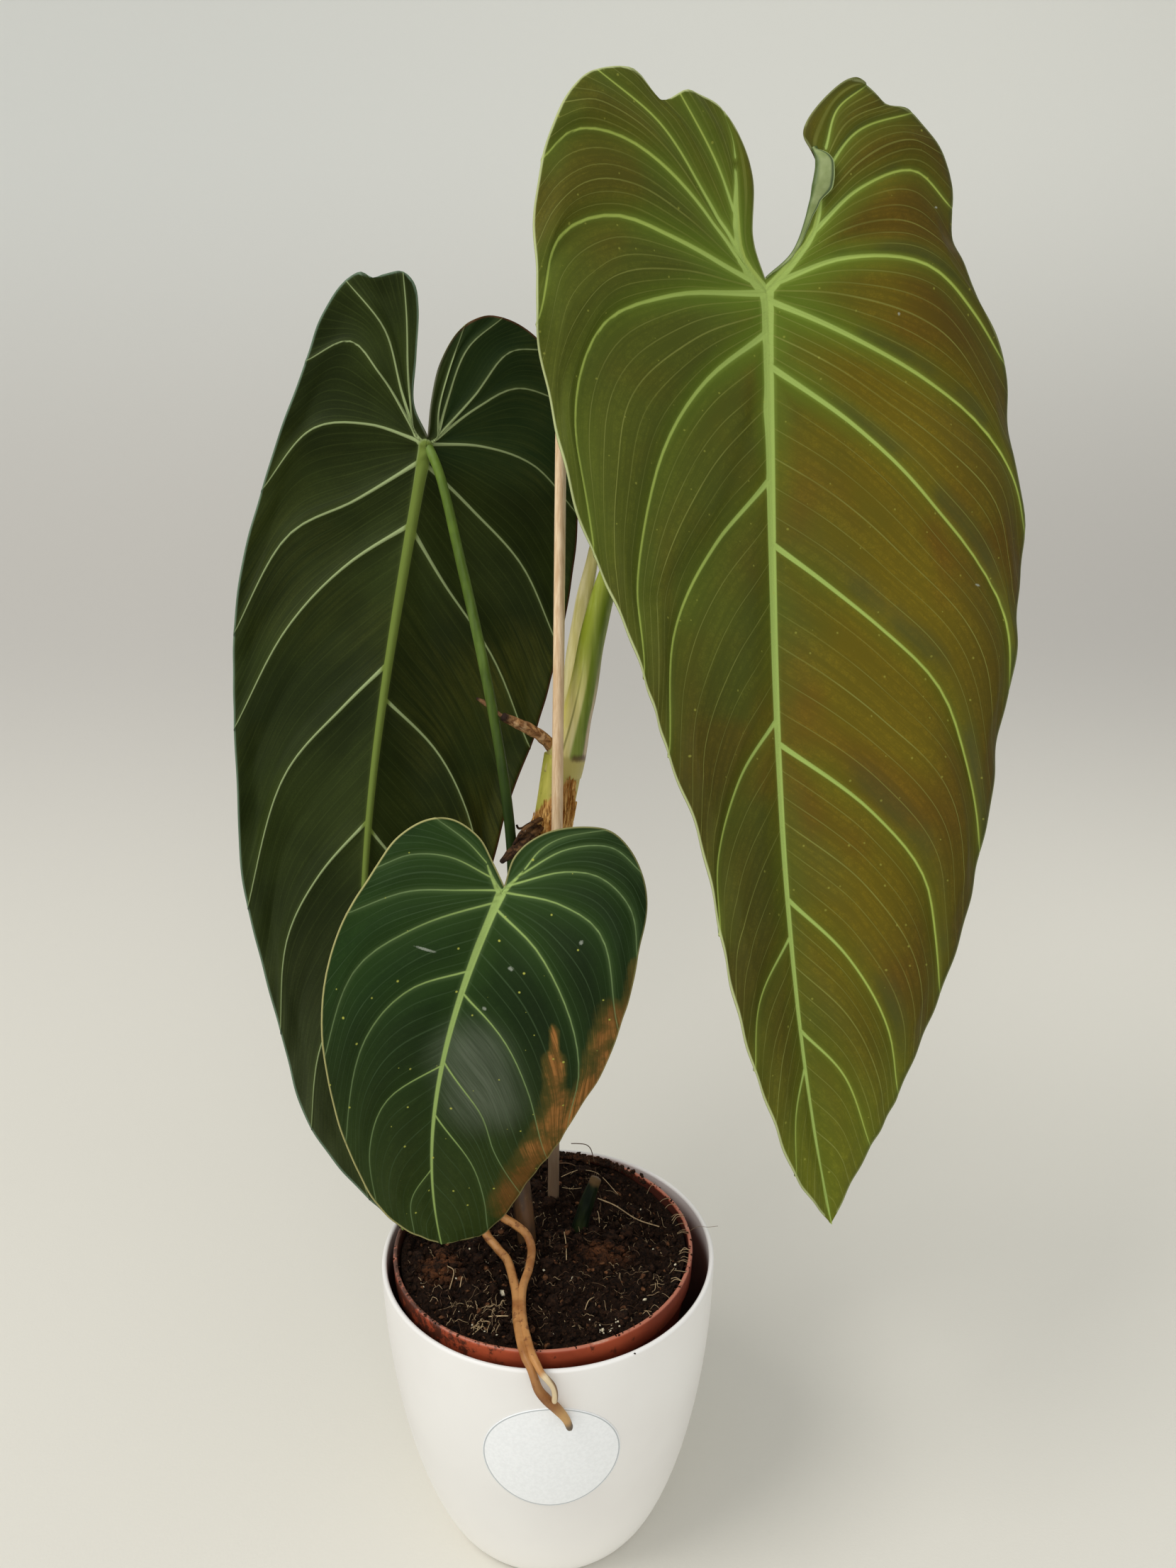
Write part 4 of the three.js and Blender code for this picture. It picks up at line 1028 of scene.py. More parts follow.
def dead_bits():
    """The dead root at the upper node, and a dried sheath's stub with a curled hair."""
    rods = Tubes()
    rods.add(DEAD_ROOT, eased(2.6, 2.8, 2.7, 2.0), 32, 110, 0.8, wrinkled(0.16, 1.0), blunt=0.5)
    rods.add(DEAD_TAIL, eased(0.7, 0.9, 1.0, 0.5), 14, 50, 1.0, wrinkled(0.2, 4.0), blunt=0.8, which=1)
    skin = dead_skin("dead_root_skin", (116, 76, 44), (198, 150, 98), (222, 184, 138))
    rods.finish("dead_root_bark", skin, "dead_root", "dead_root")
    rods = Tubes()
    rods.add(DRY_STUB, eased(2.6, 1.9, 2.3, 2.5, 1.9, 1.0), 36, 140, 0.6, wrinkled(0.24, 2.3), blunt=0.5)
    rods.add(UPPER_HUSK, eased(1.4, 1.1, 0.8, 0.5), 20, 70, 0.6, wrinkled(0.25, 5.1), blunt=0.6)
    rods.add(LOWER_HUSK, eased(1.6, 1.2, 0.9, 0.4), 20, 70, 0.6, wrinkled(0.25, 1.7), blunt=0.6)
    rods.add(STUB_HAIR, 0.5, 8, 40)
    skin = dead_skin("dry_stub_skin", (44, 28, 16), (96, 66, 38), (124, 90, 56))
    rods.finish("dry_stub_husk", skin, "dry_stub", "dry_skin")


def old_skin():
    """Brown fibres left round the stem by an old sheath. Their tops follow a slanting edge."""
    rng = random.Random(7)
    axis = spline(STEM_PATH, 400)
    tangent = unit(np.gradient(axis, axis=0))

    def on_stem(way, turn, lift):
        i = int(round(way * (len(axis) - 1)))
        north = unit(np.cross(tangent[i], [1, 0, 0]))
        east = unit(np.cross(north, tangent[i]))
        return axis[i] + (stem_girth(way) + lift) * (east * math.cos(turn) + north * math.sin(turn))

    rods = Tubes()
    for _ in range(SKIN_STRANDS):
        turn = -math.pi * rng.uniform(-0.12, 0.98)
        slant = 0.9 + 0.05 * (math.cos(turn) + 1) - 0.22 * max(math.cos(turn) - 0.68, 0)
        top = slant - rng.uniform(0, 0.07)
        foot = max(0.76, top - rng.uniform(0.03, 0.12))
        lean, lift = rng.uniform(-0.22, 0.22), rng.uniform(0.05, 0.7)
        route = []
        for part in np.arange(7) / 6:
            wander = 0.08 * math.sin(4 * part + rng.uniform(0, 1.2))
            route.append(on_stem(foot + (top - foot) * part, turn + lean * part + wander, lift))
        rods.add(route, rng.uniform(0.16, 0.5), 7, 18, 0.6, wrinkled(0.2, rng.uniform(0, 6)), blunt=1.0,
                 which=rng.random())
    paint = Paint("old_skin_fibres", 0.85, 0.15)
    grain = paint.noise(500, 4, 0.7, (1, 1, 0.3))
    light = paint.mix(paint.mark("which"), (170, 112, 46), (255, 214, 134))
    paint.base = paint.mix(grain.band(0.4, 0.65), paint.mix(1.0, light, (192, 168, 134), "MULTIPLY"), light)
    rods.finish("old_skin_fibres", paint.done(grain, 0.0006, 0.9), "dry_sheath", "dry_skin")


def stub():
    paint = Paint("stub_skin", 0.55, 0.1)
    streak = paint.noise(260, 4, 0.6, (1, 1, 0.1))
    paint.base = paint.mix(streak.band(0.35, 0.7), (12, 20, 8), (36, 44, 16))
    paint.lay((streak * 0.06 + paint.mark("way")).band(0.93, 0.99), (88, 68, 42))
    rod("cut_petiole_stub", paint.done(streak, 0.0005, 0.6), "cut_petiole", "stub", CUT_PETIOLE,
        eased(3.4, 3.3, 2.9, 2.2), 36, 110, shape=wrinkled(0.1, 0.6), blunt=0.12)


# Bamboo stake and aerial roots
def stake():
    paint = Paint("bamboo_skin", 0.5, 0.4)
    grain, patch = paint.noise(900, 4, 0.65, (1, 1, 0.012)), paint.noise(36, 3, 0.5, (1, 1, 0.35))
    paint.base = paint.mix(grain.band(0.35, 0.68), (214, 180, 138), (244, 218, 178))
    paint.lay(patch.band(0.5, 0.7, 0, 0.4), (190, 150, 104))
    damp = (paint.mark("way") + patch * 0.05).band(0.27, 0.43, 1, 0)
    paint.lay(damp * 0.9, (84, 62, 44))
    path = [(1 + 0.0147 * (z - SOIL_TOP), 31.6 + 0.105 * (z - SOIL_TOP), z) for z in (14, 250, 478)]
    rod("bamboo_stake", paint.done(grain, 0.0003, 0.5), "stake", "bamboo", path,
        lambda t: 2.45 - 0.35 * t, 40, 260, shape=fluted(0.008, 5, 0.012), blunt=0.12)


LEFT_ROOT = [(-13, 16, 143), (-20, 8, 140), (-25.5, 0, 128), (-20, -7, 124.3), (-15.8, -13, 123.8),
             (-12.6, -24.7, 123.8), (-11, -33, 124), (-9.8, -46, 124.6), (-7.8, -57.5, 125.4),
             (-5.8, -64.2, 124.4), (-4.1, -67, 122.9), (-2.7, -69, 119.9), (-1.2, -69.6, 115.5),
             (1.5, -69.6, 111.5), (5.1, -69.1, 107), (7.9, -68.4, 102.2), (9.7, -67.6, 96.4)]
RIGHT_ROOT = [(-11, 15, 139), (-18, 6, 135.5), (-18.5, 2.6, 132), (-13.7, -0.5, 130.5), (-8.9, -3.5, 128.3),
              (-6.5, -8.4, 126), (-6.7, -18.3, 125), (-8.6, -28, 124.4), (-8.8, -36, 124.6),
              (-7.8, -47, 125.3), (-5.6, -57.5, 126), (-3.6, -64.2, 125.4), (-2, -67.2, 124.7),
              (-0.1, -70, 123.1), (1.7, -71, 121.7), (3.7, -71.2, 118.8), (4.4, -71.2, 115.5),
              (4.2, -71, 111.4)]


def roots():
    paint = Paint("root_skin", 0.5, 0.4)
    way = paint.mark("way")
    left, right = paint.mark("which").band(0.4, 0.6, 1, 0), paint.mark("which").band(0.4, 0.6)
    grain = paint.noise(300, 4, 0.65)
    paint.base = paint.mix(paint.noise(90, 3, 0.6).band(0.38, 0.62), (152, 96, 44), (188, 134, 76))
    paint.lay(grain.band(0.54, 0.66, 0, 0.8), (112, 62, 28))
    # Painted shade: the roots are darker where their surface faces down.
    paint.lay(paint.mark("up").band(-0.6, 0.3, 0.55, 0), (112, 66, 32))
    paint.lay(way.band(0.68, 0.8) * left * 0.55, (128, 84, 42))
    pale = paint.mix(paint.mark("east").band(0.5, 0.85), (220, 200, 160), (120, 92, 60))
    paint.lay(way.band(0.875, 0.895) * right * 0.9, pale)
    paint.lay(way.band(0.88, 0.94) * left * 0.75, (206, 164, 104))
    paint.lay(way.band(0.05, 0.2, 1, 0) * 0.8, (104, 84, 62))
    paint.lay(way.band(0.955, 0.985) * left, (98, 84, 68))
    skin = paint.done(grain, 0.0005, 0.6, grain.band(0.3, 0.7, 0.42, 0.6))
    rods = Tubes()
    rods.add(LEFT_ROOT, lambda t: np.interp(t, [0, 0.7, 0.78, 0.86, 0.91, 0.95, 1],
                                            [1.65, 1.7, 1.45, 1.8, 1.75, 1.45, 1.2]),
             24, 260, shape=wrinkled(0.06, 0.4), blunt=0.9, which=0)
    rods.add(RIGHT_ROOT, lambda t: np.interp(t, [0, 0.82, 0.89, 1], [1.7, 1.5, 1.1, 1.05]),
             24, 260, shape=wrinkled(0.06, 3.4), blunt=0.8, which=1)
    rods.finish("aerial_root_skin", skin, "aerial_roots", "root")


# Pots and label
LATHE_SIDES = 240
LABEL_SIDES = 160


def rounded(away, height, radius, start, end, count):
    """Profile points of a rounded edge, from one angle in degrees to another."""
    angles = np.radians(np.linspace(start, end, count))
    return [(away + radius * math.cos(a), height + radius * math.sin(a)) for a in angles]


def lathe_piece(name, outside, inside, material, node, slot, x=0):
    """A solid of a profile that starts on its upright axis at x, goes round the rim and ends on the axis."""
    away, height = np.array([*outside, *inside], float).T[..., None]
    turn = round_turn(LATHE_SIDES)
    points = np.stack([x + away * np.cos(turn), away * np.sin(turn), height + 0 * turn], axis=-1)[1:-1]
    ends = [(x, 0, height[0, 0]), (x, 0, height[-1, 0])]
    inner = np.append(np.repeat(np.arange(len(points)) + 1 >= len(outside), LATHE_SIDES), [0, 1])
    faces = capped_grid(len(points), LATHE_SIDES)
    points = np.concatenate([points.reshape(-1, 3), ends])
    piece(name, points, faces, [material], node, slot, {"inner": inner})


def cover_radius(z):
    return COVER_BASE_R + (COVER_RIM_R - COVER_BASE_R) * (1 - (1 - z / COVER_HEIGHT) ** 1.97) ** 0.752


def nursery_radius(z):
    part = (z - NURSERY_BASE_Z) / (NURSERY_COLLAR_Z - NURSERY_BASE_Z)
    return NURSERY_BASE_R + (NURSERY_RIM_R - NURSERY_STEP - NURSERY_BASE_R) * part


def cover_pot():
    paint = Paint("white_plastic", 0.42, 0.45)
    height = paint.axis(2)
    paint.base = paint.mix(paint.noise(14, 3, 0.5).band(0.35, 0.65), (238, 236, 231), (232, 229, 224))
    paint.lay(paint.noise(240, 4, 0.7, (1, 1, 0.25)).band(0.68, 0.76, 0, 0.12), (198, 192, 182))
    # Painted light: the pot is brighter towards its foot.
    paint.lay(height.band(0.0, 0.06, 0.9, 0), (252, 250, 245))
    # Painted reflection and shade: the inside wall is tinted reddish brown, most strongly lower down.
    paint.lay(paint.mark("inner") * height.band(0.108, 0.119, 0.9, 0.15), (126, 66, 46))
    rough = paint.noise(60, 3, 0.5).band(0.3, 0.7, 0.36, 0.48)
    skin = paint.done(paint.noise(700, 2, 0.5), 0.0001, 0.25, rough)
    # Heights of the profile's points outside and inside, in mm, closer together where it bends.
    rising = (0.1, 0.5, 1, 1.8, 3, 5, 8, 12, 17, 23, 30, 38, 46, 55, 64, 73, 82, 91, 99, 106, 112, 116, 119)
    falling = (119, 115, 109, 100, 90, 78, 66, 54, 42, 32, 24, 17, 12, 8, 6)
    floor_r = cover_radius(COVER_FLOOR) - COVER_WALL
    outside = [(0, 0), (COVER_BASE_R - 2, 0), *[(cover_radius(z), z) for z in rising],
               *rounded(COVER_RIM_R - 1, COVER_HEIGHT - 1, 1, 10, 170, 9)]
    inside = [*[(cover_radius(z) - COVER_WALL, z) for z in falling], (floor_r - 1.5, COVER_FLOOR + 0.4),
              (floor_r - 3, COVER_FLOOR), (0, COVER_FLOOR)]
    lathe_piece("cover_pot_white", outside, inside, skin, "cover_pot", "cover_plastic")


def nursery_pot():
    paint = Paint("terracotta_plastic", 0.45, 0.4)
    east, height = paint.axis(0), paint.axis(2)
    rim = height.band(0.1219, 0.1224)
    paint.base = paint.mix(paint.noise(60, 3, 0.55).band(0.35, 0.65), (178, 82, 50), (158, 70, 43))
    # Painted shade: the outer wall is darker on the east side, below the rim's top.
    paint.lay(east.band(0.02, 0.05) * height.band(0.1219, 0.1224, 0.6, 0), (92, 44, 32))
    paint.lay(rim * 0.8, (180, 114, 90))
    paint.lay(paint.mark("inner") * 0.9, (64, 32, 24))
    paint.lay(rim * paint.noise(75, 4, 0.7).band(0.58, 0.68) * 0.5, (206, 172, 150))
    dirt = paint.noise(200, 4, 0.7) + east.band(-0.055, 0.0, 0.22, 0)
    paint.lay(dirt.band(0.58, 0.72, 0, 0.85), (50, 32, 22))
    skin = paint.done(paint.noise(500, 3, 0.6), 0.0002, 0.4)
    floor = NURSERY_BASE_Z + NURSERY_FLOOR
    outside = [(0, NURSERY_BASE_Z), (NURSERY_BASE_R - 1, NURSERY_BASE_Z),
               *rounded(NURSERY_BASE_R - 1, NURSERY_BASE_Z + 1, 1, -80, 0, 5),
               *[(nursery_radius(z), z) for z in (*range(8, 112, 8), NURSERY_COLLAR_Z)],
               (NURSERY_RIM_R - 0.7, NURSERY_COLLAR_Z + 0.2), (NURSERY_RIM_R - 0.3, NURSERY_COLLAR_Z + 0.8),
               (NURSERY_RIM_R - 0.1, NURSERY_RIM_Z - 4), (NURSERY_RIM_R, NURSERY_RIM_Z - 1),
               *rounded(NURSERY_RIM_R - 0.8, NURSERY_RIM_Z - 0.8, 0.8, 10, 170, 9)]
    inside = [(NURSERY_RIM_R - 1.62, NURSERY_RIM_Z - 1.1), (NURSERY_RIM_R - 1.7, NURSERY_RIM_Z - 3),
              (nursery_radius(NURSERY_COLLAR_Z) - NURSERY_WALL, NURSERY_COLLAR_Z - 1),
              *[(nursery_radius(z) - NURSERY_WALL, z) for z in (*range(104, 8, -8), floor)], (0, floor)]
    lathe_piece("nursery_pot_terracotta", outside, inside, skin, "nursery_pot", "nursery_plastic", NURSERY_X)


def label():
    """A round paper label on the cover pot, blank but for a thin grey line near its edge."""
    paint = Paint("label_paper", 0.4, 0.4)
    fibre = paint.noise(800, 3, 0.6)
    paint.base = paint.mix(fibre.band(0.35, 0.65), (240, 242, 242), (246, 248, 248))
    ring = abs(paint.mark("away") - (LABEL_R - 0.5)).band(0.12, 0.32, 1, 0)
    paint.lay(ring * 0.7, (146, 154, 158))
    reach = np.array([0.002, 0.005, *np.linspace(0.05, 0.97, 16), 0.985, 1]) * LABEL_R
    turn = round_turn(LABEL_SIDES)
    x = LABEL_X + reach[:, None] * np.cos(turn)
    z = LABEL_Z + reach[:, None] * np.sin(turn)
    layers = [np.stack([x, -np.sqrt((cover_radius(z) + lift) ** 2 - x ** 2), z], axis=-1)
              for lift in (0.32, 0.02)]
    faces = two_sided(grid_faces(len(reach), LABEL_SIDES, True), x.size)
    piece("blank_label_paper", np.array(layers).reshape(-1, 3), faces, [paint.done(fibre, 0.0001, 0.3)],
          "blank_label", "paper", {"away": np.tile(np.repeat(reach, LABEL_SIDES), 2)})


# Soil. Places on it are measured from the nursery pot's centre.
CRUMBS = 4600
CLODS = 80
CLODS_IN_REDDISH = 15
BARK_CHIPS = 380
PERLITE_GRAINS = 52
PERLITE_AT_FRONT = 14
RIM_CRUMBS = 170
BACK_RIM_CRUMBS = 420
REDDISH = [(22.5, -4.5, 10.5, 7), (-41.5, -12, 8, 9.5)]
STEM_FEET = [(1, 31.6, 3.6), (-9, 6, 4.6), (15.2, 14.4, 4.2)]
LARGE_PERLITE = [(-14.8, -24.6, 1.55), (11.8, -18.6, 0.6), (23.1, -45.8, 0.95), (25.5, -44.5, 0.6),
                 (31.8, -41.3, 0.7), (39, -31.4, 0.85), (4.9, -48, 0.6), (26, -47.6, 0.75), (-33, -19, 0.45),
                 (-20, -45, 0.6)]
CHUNK_FACES = np.array([(0, 11, 5), (0, 5, 1), (0, 1, 7), (0, 7, 10), (0, 10, 11), (1, 5, 9), (5, 11, 4),
                        (11, 10, 2), (10, 7, 6), (7, 1, 8), (3, 9, 4), (3, 4, 2), (3, 2, 6), (3, 6, 8),
                        (3, 8, 9), (4, 9, 5), (2, 4, 11), (6, 2, 10), (8, 6, 7), (9, 8, 1)])


def soil_height(x, y):
    """The smooth heaps and hollows of the soil's top."""
    def heap(cx, cy, height, spread):
        return height * np.exp(-((x - cx) ** 2 + (y - cy) ** 2) / spread ** 2)
    return (SOIL_TOP + heap(8, 54, 8.5, 19) + heap(-30, 40, 3, 16) - heap(44, 22, 3.5, 18)
            + heap(22, -8, 1.6, 14) - heap(-8, -30, 1.2, 18)
            + 0.5 * np.sin(x / 5.1 + y / 9) * np.cos(y / 6.3))


def rough_height(x, y):
    """The soil's height with its clods."""
    clods = noise.fractal(Vector((x / 7, y / 7, 3)), 1.0, 2.1, 5) * 2.1
    clods += (0.45 - noise.voronoi(Vector((x / 4.2, y / 4.2, 1.3)))[0][0]) * 3
    grains = noise.fractal(Vector((x / 1.7, y / 1.7, 8)), 0.8, 2.2, 4) * 0.9
    away = math.hypot(x, y)
    inside = min(max((SOIL_R - away) / 4, 0), 1)
    bank = max(0, 1 - (SOIL_R - away) / 12) ** 1.5 * max(0, x / away if away else 0) * 3.2
    return min(float(soil_height(x, y)) + bank, 121.6) + (clods + grains) * (0.35 + 0.65 * inside) - 0.3


def soil_skin(name, *browns):
    paint = Paint(name, 0.95, 0.12)
    grain = paint.noise(620, 5, 0.75)
    paint.base = paint.mix(grain.band(0.36, 0.66), *browns)
    paint.lay(paint.noise(110, 4, 0.65).band(0.5, 0.7, 0, 0.55), (44, 28, 18))
    rusty = grain.band(0.36, 0.56) * paint.noise(190, 4, 0.7).band(0.4, 0.56)
    paint.lay(paint.mark("red") * rusty, (112, 68, 40))
    paint.lay(paint.noise(1500, 2, 0.5).band(0.69, 0.74, 0, 0.7), (120, 88, 56))
    return paint.done(paint.noise(1300, 4, 0.8), 0.0012, 1.0)


def soil_piece(name, material, points, faces, red=None):
    """A piece of the soil. Unless red is given, points are red near the two reddish clods."""
    points = np.concatenate(points)
    x, y = points[:, 0], points[:, 1]
    if red is None:
        reach = [np.hypot((x - cx) / wide, (y - cy) / deep) for cx, cy, wide, deep in REDDISH]
        red = np.clip(1.35 - np.min(reach, axis=0), 0, 1)
    marks = {"red": red + np.zeros(len(points))}
    piece(name, points, [np.concatenate(faces)], [material], "soil", "peat", marks)


def soil_bed():
    rings, sides = 140, 320
    turn = round_turn(sides)
    reach = np.linspace(0.004, 1, rings)[:, None] * SOIL_R
    x, y = (reach * np.cos(turn)).ravel(), (reach * np.sin(turn)).ravel()
    points = [np.stack([x + NURSERY_X, y, [rough_height(*place) for place in zip(x, y)]], axis=-1)]
    low = NURSERY_BASE_Z + NURSERY_FLOOR + 0.3
    sunk = [(nursery_radius(z) - NURSERY_WALL - 0.3, z) for z in (110, 60, low)] + [(0.2, low)]
    for away, z in sunk:
        x, y = away * np.cos(turn), away * np.sin(turn)
        points.append(np.stack([x + NURSERY_X, y, np.full(sides, z)], axis=-1))
    skin = soil_skin("peat", (16, 10, 7), (52, 34, 22))
    soil_piece("soil_bed", skin, points, [grid_faces(rings + len(sunk), sides, True)])


def chunk(rng, size, flat):
    """The corners of one rough clod, from an icosahedron."""
    golden = (1 + 5 ** 0.5) / 2
    base = np.array([(-1, golden, 0), (1, golden, 0), (-1, -golden, 0), (1, -golden, 0), (0, -1, golden),
                     (0, 1, golden), (0, -1, -golden), (0, 1, -golden), (golden, 0, -1), (golden, 0, 1),
                     (-golden, 0, -1), (-golden, 0, 1)]) / math.hypot(1, golden)
    base = base * rng.uniform(0.6, 1.3, (12, 1))
    base = base * np.array([rng.uniform(0.6, 1.5), rng.uniform(0.6, 1.1), flat])
    a, b = rng.uniform(0, 2 * math.pi), rng.uniform(-0.6, 0.6)
    return base @ np.array(Matrix.Rotation(a, 3, "Z") @ Matrix.Rotation(b, 3, "X")).T * size


def scattered(name, material, places, seed, flat=0.8):
    """Angular bits at places given with their sizes, sunk into the soil by a quarter of the size."""
    rng = np.random.default_rng(seed)
    points = []
    for x, y, size in places:
        centre = np.array([x + NURSERY_X, y, rough_height(x, y) + size * (flat - 0.25)])
        points.append(chunk(rng, size, flat) + centre)
    soil_piece(name, material, points, [CHUNK_FACES + 12 * i for i in range(len(points))])


def lumps(name, material, places, seed):
    """Larger clods: balls with a rough, broken surface."""
    ball = bmesh.new()
    bmesh.ops.create_icosphere(ball, subdivisions=3, radius=1)
    base = np.array([corner.co for corner in ball.verts])
    sides = np.array([[corner.index for corner in face.verts] for face in ball.faces])
    ball.free()
    rng = np.random.default_rng(seed)
    points = []
    for i, (x, y, size) in enumerate(places):
        bulge = np.array([noise.fractal(Vector(p * 1.5) + Vector((7 * i, 0, 0)), 0.9, 2.2, 5) for p in base])
        stretch = np.array([rng.uniform(0.8, 1.4), rng.uniform(0.8, 1.2), rng.uniform(0.55, 0.8)])
        spin = np.array(Matrix.Rotation(rng.uniform(0, math.pi), 3, "Z"))
        centre = np.array([x + NURSERY_X, y, rough_height(x, y) + 0.15 * size])
        points.append((base * (1 + 0.55 * bulge)[:, None] * stretch) @ spin.T * size + centre)
    soil_piece(name, material, points, [sides + len(base) * i for i in range(len(points))])


def clear_of_stems(x, y):
    return all(math.hypot(x + NURSERY_X - px, y - py) > gap for px, py, gap in STEM_FEET)


def spread(rng, count, reach, low, high, power=3.0):
    """Random places clear of the stems, with sizes from low to high. A higher power makes more small ones."""
    places = []
    while len(places) < count:
        x, y = rng.uniform(-reach, reach), rng.uniform(-reach, reach)
        size = low + (high - low) * rng.random() ** power
        if math.hypot(x, y) + size < reach and clear_of_stems(x, y):
            places.append((x, y, size))
    return places


def grainy(name, roughness, specular, noise_scale, detail, low, dark, light, depth, strength):
    """A material of two tones with a bump that follows them."""
    paint = Paint(name, roughness, specular)
    grain = paint.noise(noise_scale, detail, 0.7)
    paint.base = paint.mix(grain.band(low, 1 - low), dark, light)
    return paint.done(grain, depth, strength)


def crumbs():
    rng = random.Random(11)
    dark = soil_skin("peat_crumbs", (20, 13, 9), (64, 42, 28))
    bark = grainy("bark_chips", 0.9, 0.15, 450, 4, 0.35, (58, 34, 20), (112, 74, 46), 0.0008, 0.9)
    white = grainy("perlite", 0.8, 0.3, 900, 3, 0.3, (200, 186, 150), (238, 228, 200), 0.0005, 0.8)
    scattered("soil_crumbs", dark, spread(rng, CRUMBS, SOIL_R - 0.6, 0.25, 1.3), seed=5)
    clods = spread(rng, CLODS, SOIL_R - 3, 1.2, 2.6, 1.5)
    for x, y, wide, deep in REDDISH:
        for _ in range(CLODS_IN_REDDISH):
            turn, part = rng.uniform(0, 2 * math.pi), math.sqrt(rng.random()) * 0.85
            clods.append((x - NURSERY_X + wide * part * math.cos(turn), y + deep * part * math.sin(turn),
                          rng.uniform(1.3, 2.9)))
    lumps("soil_clods", dark, clods, seed=9)
    scattered("soil_bark_chips", bark, spread(rng, BARK_CHIPS, SOIL_R - 1, 0.3, 1.7), seed=6, flat=0.5)
    grains = spread(rng, PERLITE_GRAINS, SOIL_R - 2, 0.2, 0.62, 2.0) + LARGE_PERLITE
    for _ in range(PERLITE_AT_FRONT):
        grains.append((rng.gauss(24.6, 2.6), rng.gauss(-45.2, 1.4), rng.uniform(0.25, 0.6)))
    scattered("soil_perlite", white, grains, seed=8, flat=0.9)
    crumbs_on_rims(dark)


def crumbs_on_rims(material):
    """Crumbs on the nursery pot's rim, many of them at the back, and one on the cover pot's."""
    rng = np.random.default_rng(4)
    points = []
    for _ in range(RIM_CRUMBS):
        x, y = polar(math.radians(rng.uniform(140, 400)), rng.uniform(57.4, 59.3))
        points.append(chunk(rng, rng.uniform(0.2, 0.55), 0.7) + [x + NURSERY_X, y, NURSERY_RIM_Z - 0.1])
    for _ in range(BACK_RIM_CRUMBS):
        x, y = polar(math.radians(rng.triangular(36, 84, 112)), rng.uniform(55.4, 59.4))
        size = rng.uniform(0.3, 1.15)
        points.append(chunk(rng, size, 0.8) + [x + NURSERY_X, y, NURSERY_RIM_Z + 0.3 * size])
    points.append(chunk(rng, 0.5, 0.6) + [32.4, -57.4, COVER_HEIGHT - 0.2])
    soil_piece("soil_on_rim", material, points, [CHUNK_FACES + 12 * i for i in range(len(points))], red=0.4)


# Fibres on the soil. Placed ones are points with a height over it, a girth and a tone from dark to pale.
LYING_FIBRES = 520
RIM_FIBRES = 24
STANDING_FIBRES = 90
FRONT_FIBRES = 30
PLACED_FIBRES = [
    ([(21.9, 29, 1.2), (29, 25.6, 2.2), (38, 19.4, 1.8), (47.2, 14, 1)], 0.26, 0.75),
    ([(6.3, 41, 2.5), (11, 43, 2.8), (15, 46.7, 1.2)], 0.14, 0.9),
    ([(6.7, 33.4, 1.6), (11, 33.6, 2.4), (15, 32.4, 1.5)], 0.14, 0.8),
    ([(14.9, 46.8, 1), (22, 41.5, 2.8), (30.7, 33.7, 1)], 0.13, 0.8),
    ([(21.8, 22.8, 1.4), (22.3, 17, 2), (22.6, 11.3, 1)], 0.16, 1.0),
    ([(8.1, 8.2, 1.2), (8.9, 1, 1.8), (9.3, -8.1, 0.8)], 0.2, 1.0),
    ([(-19.4, -36.8, 0.8), (-15, -37.4, 1.0), (-11.8, -37.1, 0.7)], 0.24, 1.0),
    ([(-37.1, -12.7, 1.5), (-34, -18, 2.2), (-34.9, -25.1, 0.8)], 0.2, 0.8),
    ([(-31.1, -23.5, 0.8), (-30.6, -21, 1.5), (-30.3, -18.6, 1.0)], 0.2, 0.8),
    ([(16.6, -34.5, 0.6), (18, -31, 1.2), (20.5, -27.5, 0.8)], 0.18, 0.85),
    ([(-25, -44, 0.8), (-20, -40, 1.6), (-14, -43, 0.8)], 0.2, 0.9),
    ([(-24, -48, 0.8), (-21, -43, 1.4), (-22, -38, 0.7)], 0.18, 0.9),
    ([(14, 50, 1.2), (9, 50, 3.4), (2, 50, 1)], 0.25, 0.1)]
HAIR_LOOP = [(18.6, 50, 124), (16.8, 50, 131), (15, 50, 132.8), (11, 50.3, 133.2), (8.4, 50.6, 133)]
RIM_HAIR = [(56, 6, 121.5), (60.4, 8, 122.6), (65, 10, 120.9), (69, 10.4, 121.1)]


def lying(rng, x, y, heading, length, bend=0.25, lift=0.5):
    """A fibre's route over the soil, from its middle."""
    route = []
    curl = rng.uniform(-bend, bend)
    for part in np.arange(6) / 5:
        turn = heading + curl * (part - 0.5) * 2
        px = x + length * ((part - 0.5) * math.cos(turn) + rng.uniform(-0.05, 0.05))
        py = y + length * ((part - 0.5) * math.sin(turn) + rng.uniform(-0.05, 0.05))
        away = math.hypot(px, py)
        if away > SOIL_R - 0.8:
            px, py = px * (SOIL_R - 0.8) / away, py * (SOIL_R - 0.8) / away
        rise = lift * (0.5 + math.sin(math.pi * part) * rng.uniform(0.2, 1.6))
        route.append((px + NURSERY_X, py, rough_height(px, py) + rise))
    return route


def somewhere(rng, reach):
    """A random place on a disk."""
    away, turn = reach * math.sqrt(rng.random()), rng.uniform(0, 2 * math.pi)
    return polar(turn, away)


